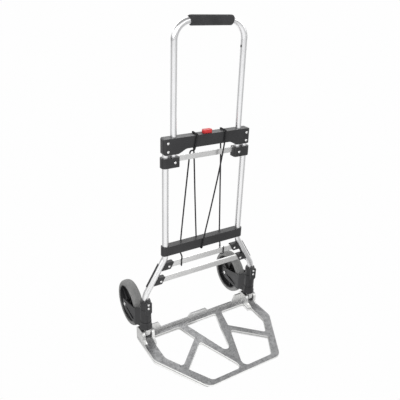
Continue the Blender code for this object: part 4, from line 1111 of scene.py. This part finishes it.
CHEEK = [(0.0345, 0.06, 0.002), (0.064, 0.0585, 0.01), (0.129, 0.0635, 0.01)]
CHEEK += [(0.1475, 0.078, 0.01), (0.149, 0.103, 0.006), (0.04, 0.127, 0.004)]
CHEEK += [(0.0345, 0.129, 0)]
CHEEK_WINDOW = ((0.048, 0.0785), (0.118, 0.088), (0.1175, 0.08), (0.059, 0.0675))


def make_forks():
    """Collars that turn round the leg tubes, each with two cheeks that hold a wheel."""
    top, bottom, radius = COLLAR_TOP, COLLAR_BOTTOM, COLLAR_RADIUS
    profile = [(0.0165, top), (0.0188, top - 0.0006), (radius, top - 0.002), (radius, 0.0985)]
    profile += [(0.0183, 0.098), (0.0183, 0.0962), (radius + 0.0006, 0.0957)]
    profile += [(radius + 0.0006, 0.085), (0.0203, 0.081), (0.0222, 0.076)]
    profile += [(0.0222, bottom + 0.002), (0.0216, bottom + 0.0006), (0.0205, bottom)]
    profile += [(0.01, bottom), (0.01, top)]
    place = (FOOT_X, 0, 0)
    fork = turned("fork_right_visual", profile, place, steps=46, closed=True)
    join(fork, fork_root())
    outlines = [rounded(CHEEK), rounded([(*corner, 0.0015) for corner in CHEEK_WINDOW])]
    for low, high in ((SKIN - CHEEK_OUTER, -CHEEK_INNER), (CHEEK_INNER, CHEEK_OUTER - SKIN)):
        plate = flat("cheek", outlines, FOOT_X + low, FOOT_X + high, "YZ")
        join(fork, frozen(bevel(plate, 0.0008, 2)))
    upright_bore(fork, FOOT_X, LEG_RADIUS + SLIDING_GAP, 0.02, 0.2)
    show_pair(fork, "fork_{}", "black")


ROOT_PLAN = [(0.016, 0.002), (0.0185, 0.012), (CHEEK_OUTER, 0.033), (CHEEK_OUTER, 0.041)]
ROOT_SIDE = [(0.0, COLLAR_BOTTOM + 0.002, 0), (0.03, COLLAR_BOTTOM + 0.001, 0.002)]
ROOT_SIDE += [(0.045, 0.06, 0), (0.045, 0.1265, 0), (0.03, 0.133, 0.01)]
ROOT_SIDE += [(0.02, 0.1465, 0.006), (0.0, 0.1465, 0)]


def fork_root():
    """The hollow neck that widens from the collar to the cheeks."""
    plan = [(FOOT_X + x, y) for x, y in both_sides(ROOT_PLAN)]
    root = flat("fork_root", [plan], 0.05, 0.17)
    side_view = flat("root_side", [rounded(ROOT_SIDE)], FOOT_X - 0.05, FOOT_X + 0.05, "YZ")
    combine(root, side_view, "INTERSECT")
    frozen(bevel(root, 0.0014, 3, 25))
    low, high = (FOOT_X - 0.0185, 0.027, 0.069), (FOOT_X + 0.0185, 0.05, 0.124)
    return frozen(cut(root, box("root_hollow", low, high)))


AXLE_FACE = CHEEK_OUTER + GAP
AXLE = [(0, AXLE_FACE + 0.0031), (0.0024, AXLE_FACE + 0.003), (0.0044, AXLE_FACE + 0.0024)]
AXLE += [(0.0058, AXLE_FACE + 0.0012), (0.0065, AXLE_FACE + 0.0002), (0.0064, AXLE_FACE)]
AXLE += [(0.004, AXLE_FACE), (0.004, -AXLE_FACE - 0.0025), (0, -AXLE_FACE - 0.0029)]


def make_axle(name, side):
    """A bolt with a domed head outside its fork, and a nut inside."""
    place = (side * FOOT_X, WHEEL_TRAIL, WHEEL_RADIUS)
    points = AXLE if side > 0 else flipped(AXLE)
    axle = turned(f"axle_{name}_visual", points, place, "X", 32)
    show(axle, f"fork_{name}", "steel")
    near, far = sorted((-side * AXLE_FACE, -side * (AXLE_FACE + 0.0029)))
    x = place[0]
    nut = cylinder(f"axle_nut_{name}_visual", place, 0.0068, x + near, x + far, "X", 6)
    bevel(nut, 0.0005, 2)
    cut(nut, cylinder("nut_bore", place, 0.0043, x - 0.05, x + 0.05, "X", 32))
    show(nut, f"fork_{name}", "steel")


TREAD = [(RIM_RADIUS + 0.0003, 0.0166), (0.0714, 0.0181), (0.0745, 0.0185), (0.0788, 0.0175)]
TREAD += [(0.0826, 0.015), (0.0852, 0.0112), (0.0865, 0.0068), (WHEEL_RADIUS - SKIN, 0.0022)]
HUB = [(0.0064, 0.02), (0.0068, 0.0205), (0.0122, 0.0205), (0.013, 0.0198)]
HUB += [(0.0142, 0.0052), (0.016, 0.0032), (RIM_RADIUS - 0.008, 0.003)]
HUB += [(RIM_RADIUS - 0.0058, 0.004), (RIM_RADIUS - 0.0038, 0.015)]
HUB += [(RIM_RADIUS - 0.003, 0.0163), (RIM_RADIUS - 0.0012, 0.0165), (RIM_RADIUS, 0.0158)]


def make_wheel(name, side):
    """A tyre with a rounded section, on a dished hub with five ribs."""
    place = (side * FOOT_X, WHEEL_TRAIL, WHEEL_RADIUS)
    curve = smooth([(r, h, 0) for r, h in TREAD + flipped(TREAD)], 3)
    section = [point[:2] for point in curve]
    tyre = turned(f"tyre_{name}_visual", section, place, "X", 96, closed=True)
    show(tyre, f"wheel_{name}", "tyre")
    hub = turned(f"hub_{name}_visual", HUB + flipped(HUB), place, "X", 96, closed=True)
    for i in range(HUB_RIBS):
        angle = 2 * math.pi * i / HUB_RIBS + 0.3
        rib = box("hub_rib", (-0.0105, -0.0011, 0.0135), (0.0105, 0.0011, RIM_RADIUS - 0.0045))
        rib.data.transform(Matrix.Translation(place) @ Matrix.Rotation(angle, 4, "X"))
        join(hub, frozen(bevel(rib, 0.0005, 2)))
    show(hub, f"wheel_{name}", "hub")


KEPT_NODES = ("button_spring", "lock_pin_left", "lock_pin_right")
KEPT_NODES += ("wheel_bush_left", "wheel_bush_right")


def finish_kept_nodes():
    """CAD nodes that stay: their shapes are right and mostly hidden, so they get a material."""
    for node in KEPT_NODES:
        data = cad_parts[node].data
        data.materials.clear()
        data.materials.append(STEEL)


def make_object():
    make_legs()
    make_beam()
    make_lower_bar()
    make_crossbars()
    make_brackets()
    make_sleeves()
    make_feet()
    make_cord()
    make_handle()
    make_grip()
    make_sliders()
    make_button()
    make_toe_plate()
    make_forks()
    for name, side in SIDES:
        make_axle(name, side)
        make_wheel(name, side)
    finish_kept_nodes()
    for obj in scratch:
        bpy.data.objects.remove(obj)


# ---- camera and studio ----

LENS, SENSOR = 41.56, 36.0
CAMERA_PLACE = Vector((-0.76128, -1.20211, 1.16756))
CAMERA_RIGHT = Vector((0.85736, -0.51375, 0.03156))
CAMERA_FORWARD = Vector((0.47848, 0.77289, -0.41677))


def make_camera():
    """The view from the left, the front and above, from about a metre and a half."""
    camera = bpy.data.objects.new("photo_camera", bpy.data.cameras.new("photo_camera"))
    bpy.context.scene.collection.objects.link(camera)
    camera.data.lens = LENS
    camera.data.sensor_width = SENSOR
    forward = CAMERA_FORWARD.normalized()
    up = CAMERA_RIGHT.normalized().cross(forward).normalized()
    turn = Matrix((forward.cross(up), up, -forward)).transposed()
    camera.matrix_world = Matrix.Translation(CAMERA_PLACE + SHIFT) @ turn.to_4x4()
    bpy.context.scene.camera = camera


ROOM = 16
FLOOR_Z = -0.0005
FORE_AND_AFT = (0.53, 0.85, 0)
SKY = ((0.0, 0.2), (0.14, 0.28), (0.28, 1.0), (0.52, 0.8), (0.75, 0.2))
MIDDLE = (0, 0, 0.5)
LIGHTS = (
    ("key_left", (-2.2, -1.6, 2.6), (1.6, 1.6), 22),
    ("fill_right", (2.4, -1.2, 1.8), (1.4, 1.8), 8),
    ("top_back", (0.3, 2.2, 2.8), (2.4, 1.4), 14),
)


def area_light(name, place, size, power):
    data = bpy.data.lights.new(name, "AREA")
    data.shape = "RECTANGLE"
    data.size, data.size_y = size
    data.energy = power
    light = bpy.data.objects.new(name, data)
    bpy.context.scene.collection.objects.link(light)
    light.location = place
    aim = Vector(MIDDLE) - Vector(place)
    light.rotation_euler = aim.to_track_quat("-Z", "Y").to_euler()
    light.visible_camera = False


def emitter(name, colour):
    """A shadeless material: a colour, or a function that makes the colour's socket."""
    material = bpy.data.materials.new(name)
    material.use_nodes = True
    tree = material.node_tree
    tree.nodes.clear()
    output = tree.nodes.new("ShaderNodeOutputMaterial")
    glow = colour(tree) if callable(colour) else (*colour, 1)
    put(tree, output.inputs["Surface"], add_node(tree, "Emission", {"Color": glow}))
    return material


def sheet(name, corners, material):
    shape = bmesh.new()
    shape.faces.new([shape.verts.new(corner) for corner in corners])
    mesh = bpy.data.meshes.new(name)
    shape.to_mesh(mesh)
    shape.free()
    mesh.materials.append(material)
    obj = bpy.data.objects.new(name, mesh)
    bpy.context.scene.collection.objects.link(obj)
    return obj


def grey_sides(tree, direction, level):
    """What the metal mirrors: bright before and behind the object, grey to its two sides."""
    level_only = {0: direction, 1: (1, 1, 0)}
    ground = add_node(tree, "VectorMath", level_only, "Vector", operation="MULTIPLY")
    unit = add_node(tree, "VectorMath", {0: ground}, "Vector", operation="NORMALIZE")
    facing = {0: unit, 1: FORE_AND_AFT}
    along = add_node(tree, "VectorMath", facing, "Value", operation="DOT_PRODUCT")
    size = add_node(tree, "Math", {0: along}, operation="ABSOLUTE")
    return add_node(tree, "MapRange", {0: size, 1: 0.1, 2: 0.85, 3: level, 4: 1.0})


def mirrored_floor(tree):
    return grey_sides(tree, add_node(tree, "TexCoord", {}, "Object"), 0.44)


def make_world():
    """Light from every side, brightest a little above the horizon and dim overhead."""
    world = bpy.data.worlds.new("studio")
    world.use_nodes = True
    bpy.context.scene.world = world
    tree = world.node_tree
    direction = add_node(tree, "TexCoord", {}, "Generated")
    ramp = tree.nodes.new("ShaderNodeValToRGB")
    put(tree, ramp.inputs[0], add_node(tree, "SeparateXYZ", {0: direction}, "Z"))
    elements = ramp.color_ramp.elements
    while len(elements) < len(SKY):
        elements.new(0.5)
    for element, (position, level) in zip(elements, SKY):
        element.position = position
        element.color = (level, level, level, 1)
    sides = grey_sides(tree, direction, 0.5)
    inputs = {0: ramp.outputs[0], "Scale": sides}
    shade = add_node(tree, "VectorMath", inputs, "Vector", operation="SCALE")
    background = tree.nodes["Background"]
    put(tree, background.inputs["Color"], shade)
    background.inputs["Strength"].default_value = 2.0


def make_studio():
    """A white floor and walls for the camera only, and a floor that only the metal mirrors."""
    bpy.context.scene.view_settings.view_transform = "Standard"
    make_world()
    places = ((-1, -1), (1, -1), (1, 1), (-1, 1))
    corners = [(x * ROOM, y * ROOM, FLOOR_Z) for x, y in places]
    white = emitter("studio_white", (0.991, 0.991, 0.991))
    sweeps = [sheet("studio_floor", corners, white)]
    for i in range(4):
        (ax, ay, low), (bx, by, _) = corners[i], corners[(i + 1) % 4]
        wall = [(ax, ay, low), (bx, by, low), (bx, by, ROOM), (ax, ay, ROOM)]
        sweeps.append(sheet(f"studio_wall_{i}", wall, white))
    for sweep_sheet in sweeps:
        sweep_sheet.visible_glossy = False
        sweep_sheet.visible_diffuse = False
        sweep_sheet.visible_shadow = False
    material = emitter("studio_floor_in_metal", mirrored_floor)
    mirror = sheet("studio_floor_in_metal", corners, material)
    mirror.visible_camera = False
    mirror.visible_shadow = False
    for light in LIGHTS:
        area_light(*light)


make_camera()
make_object()
make_studio()
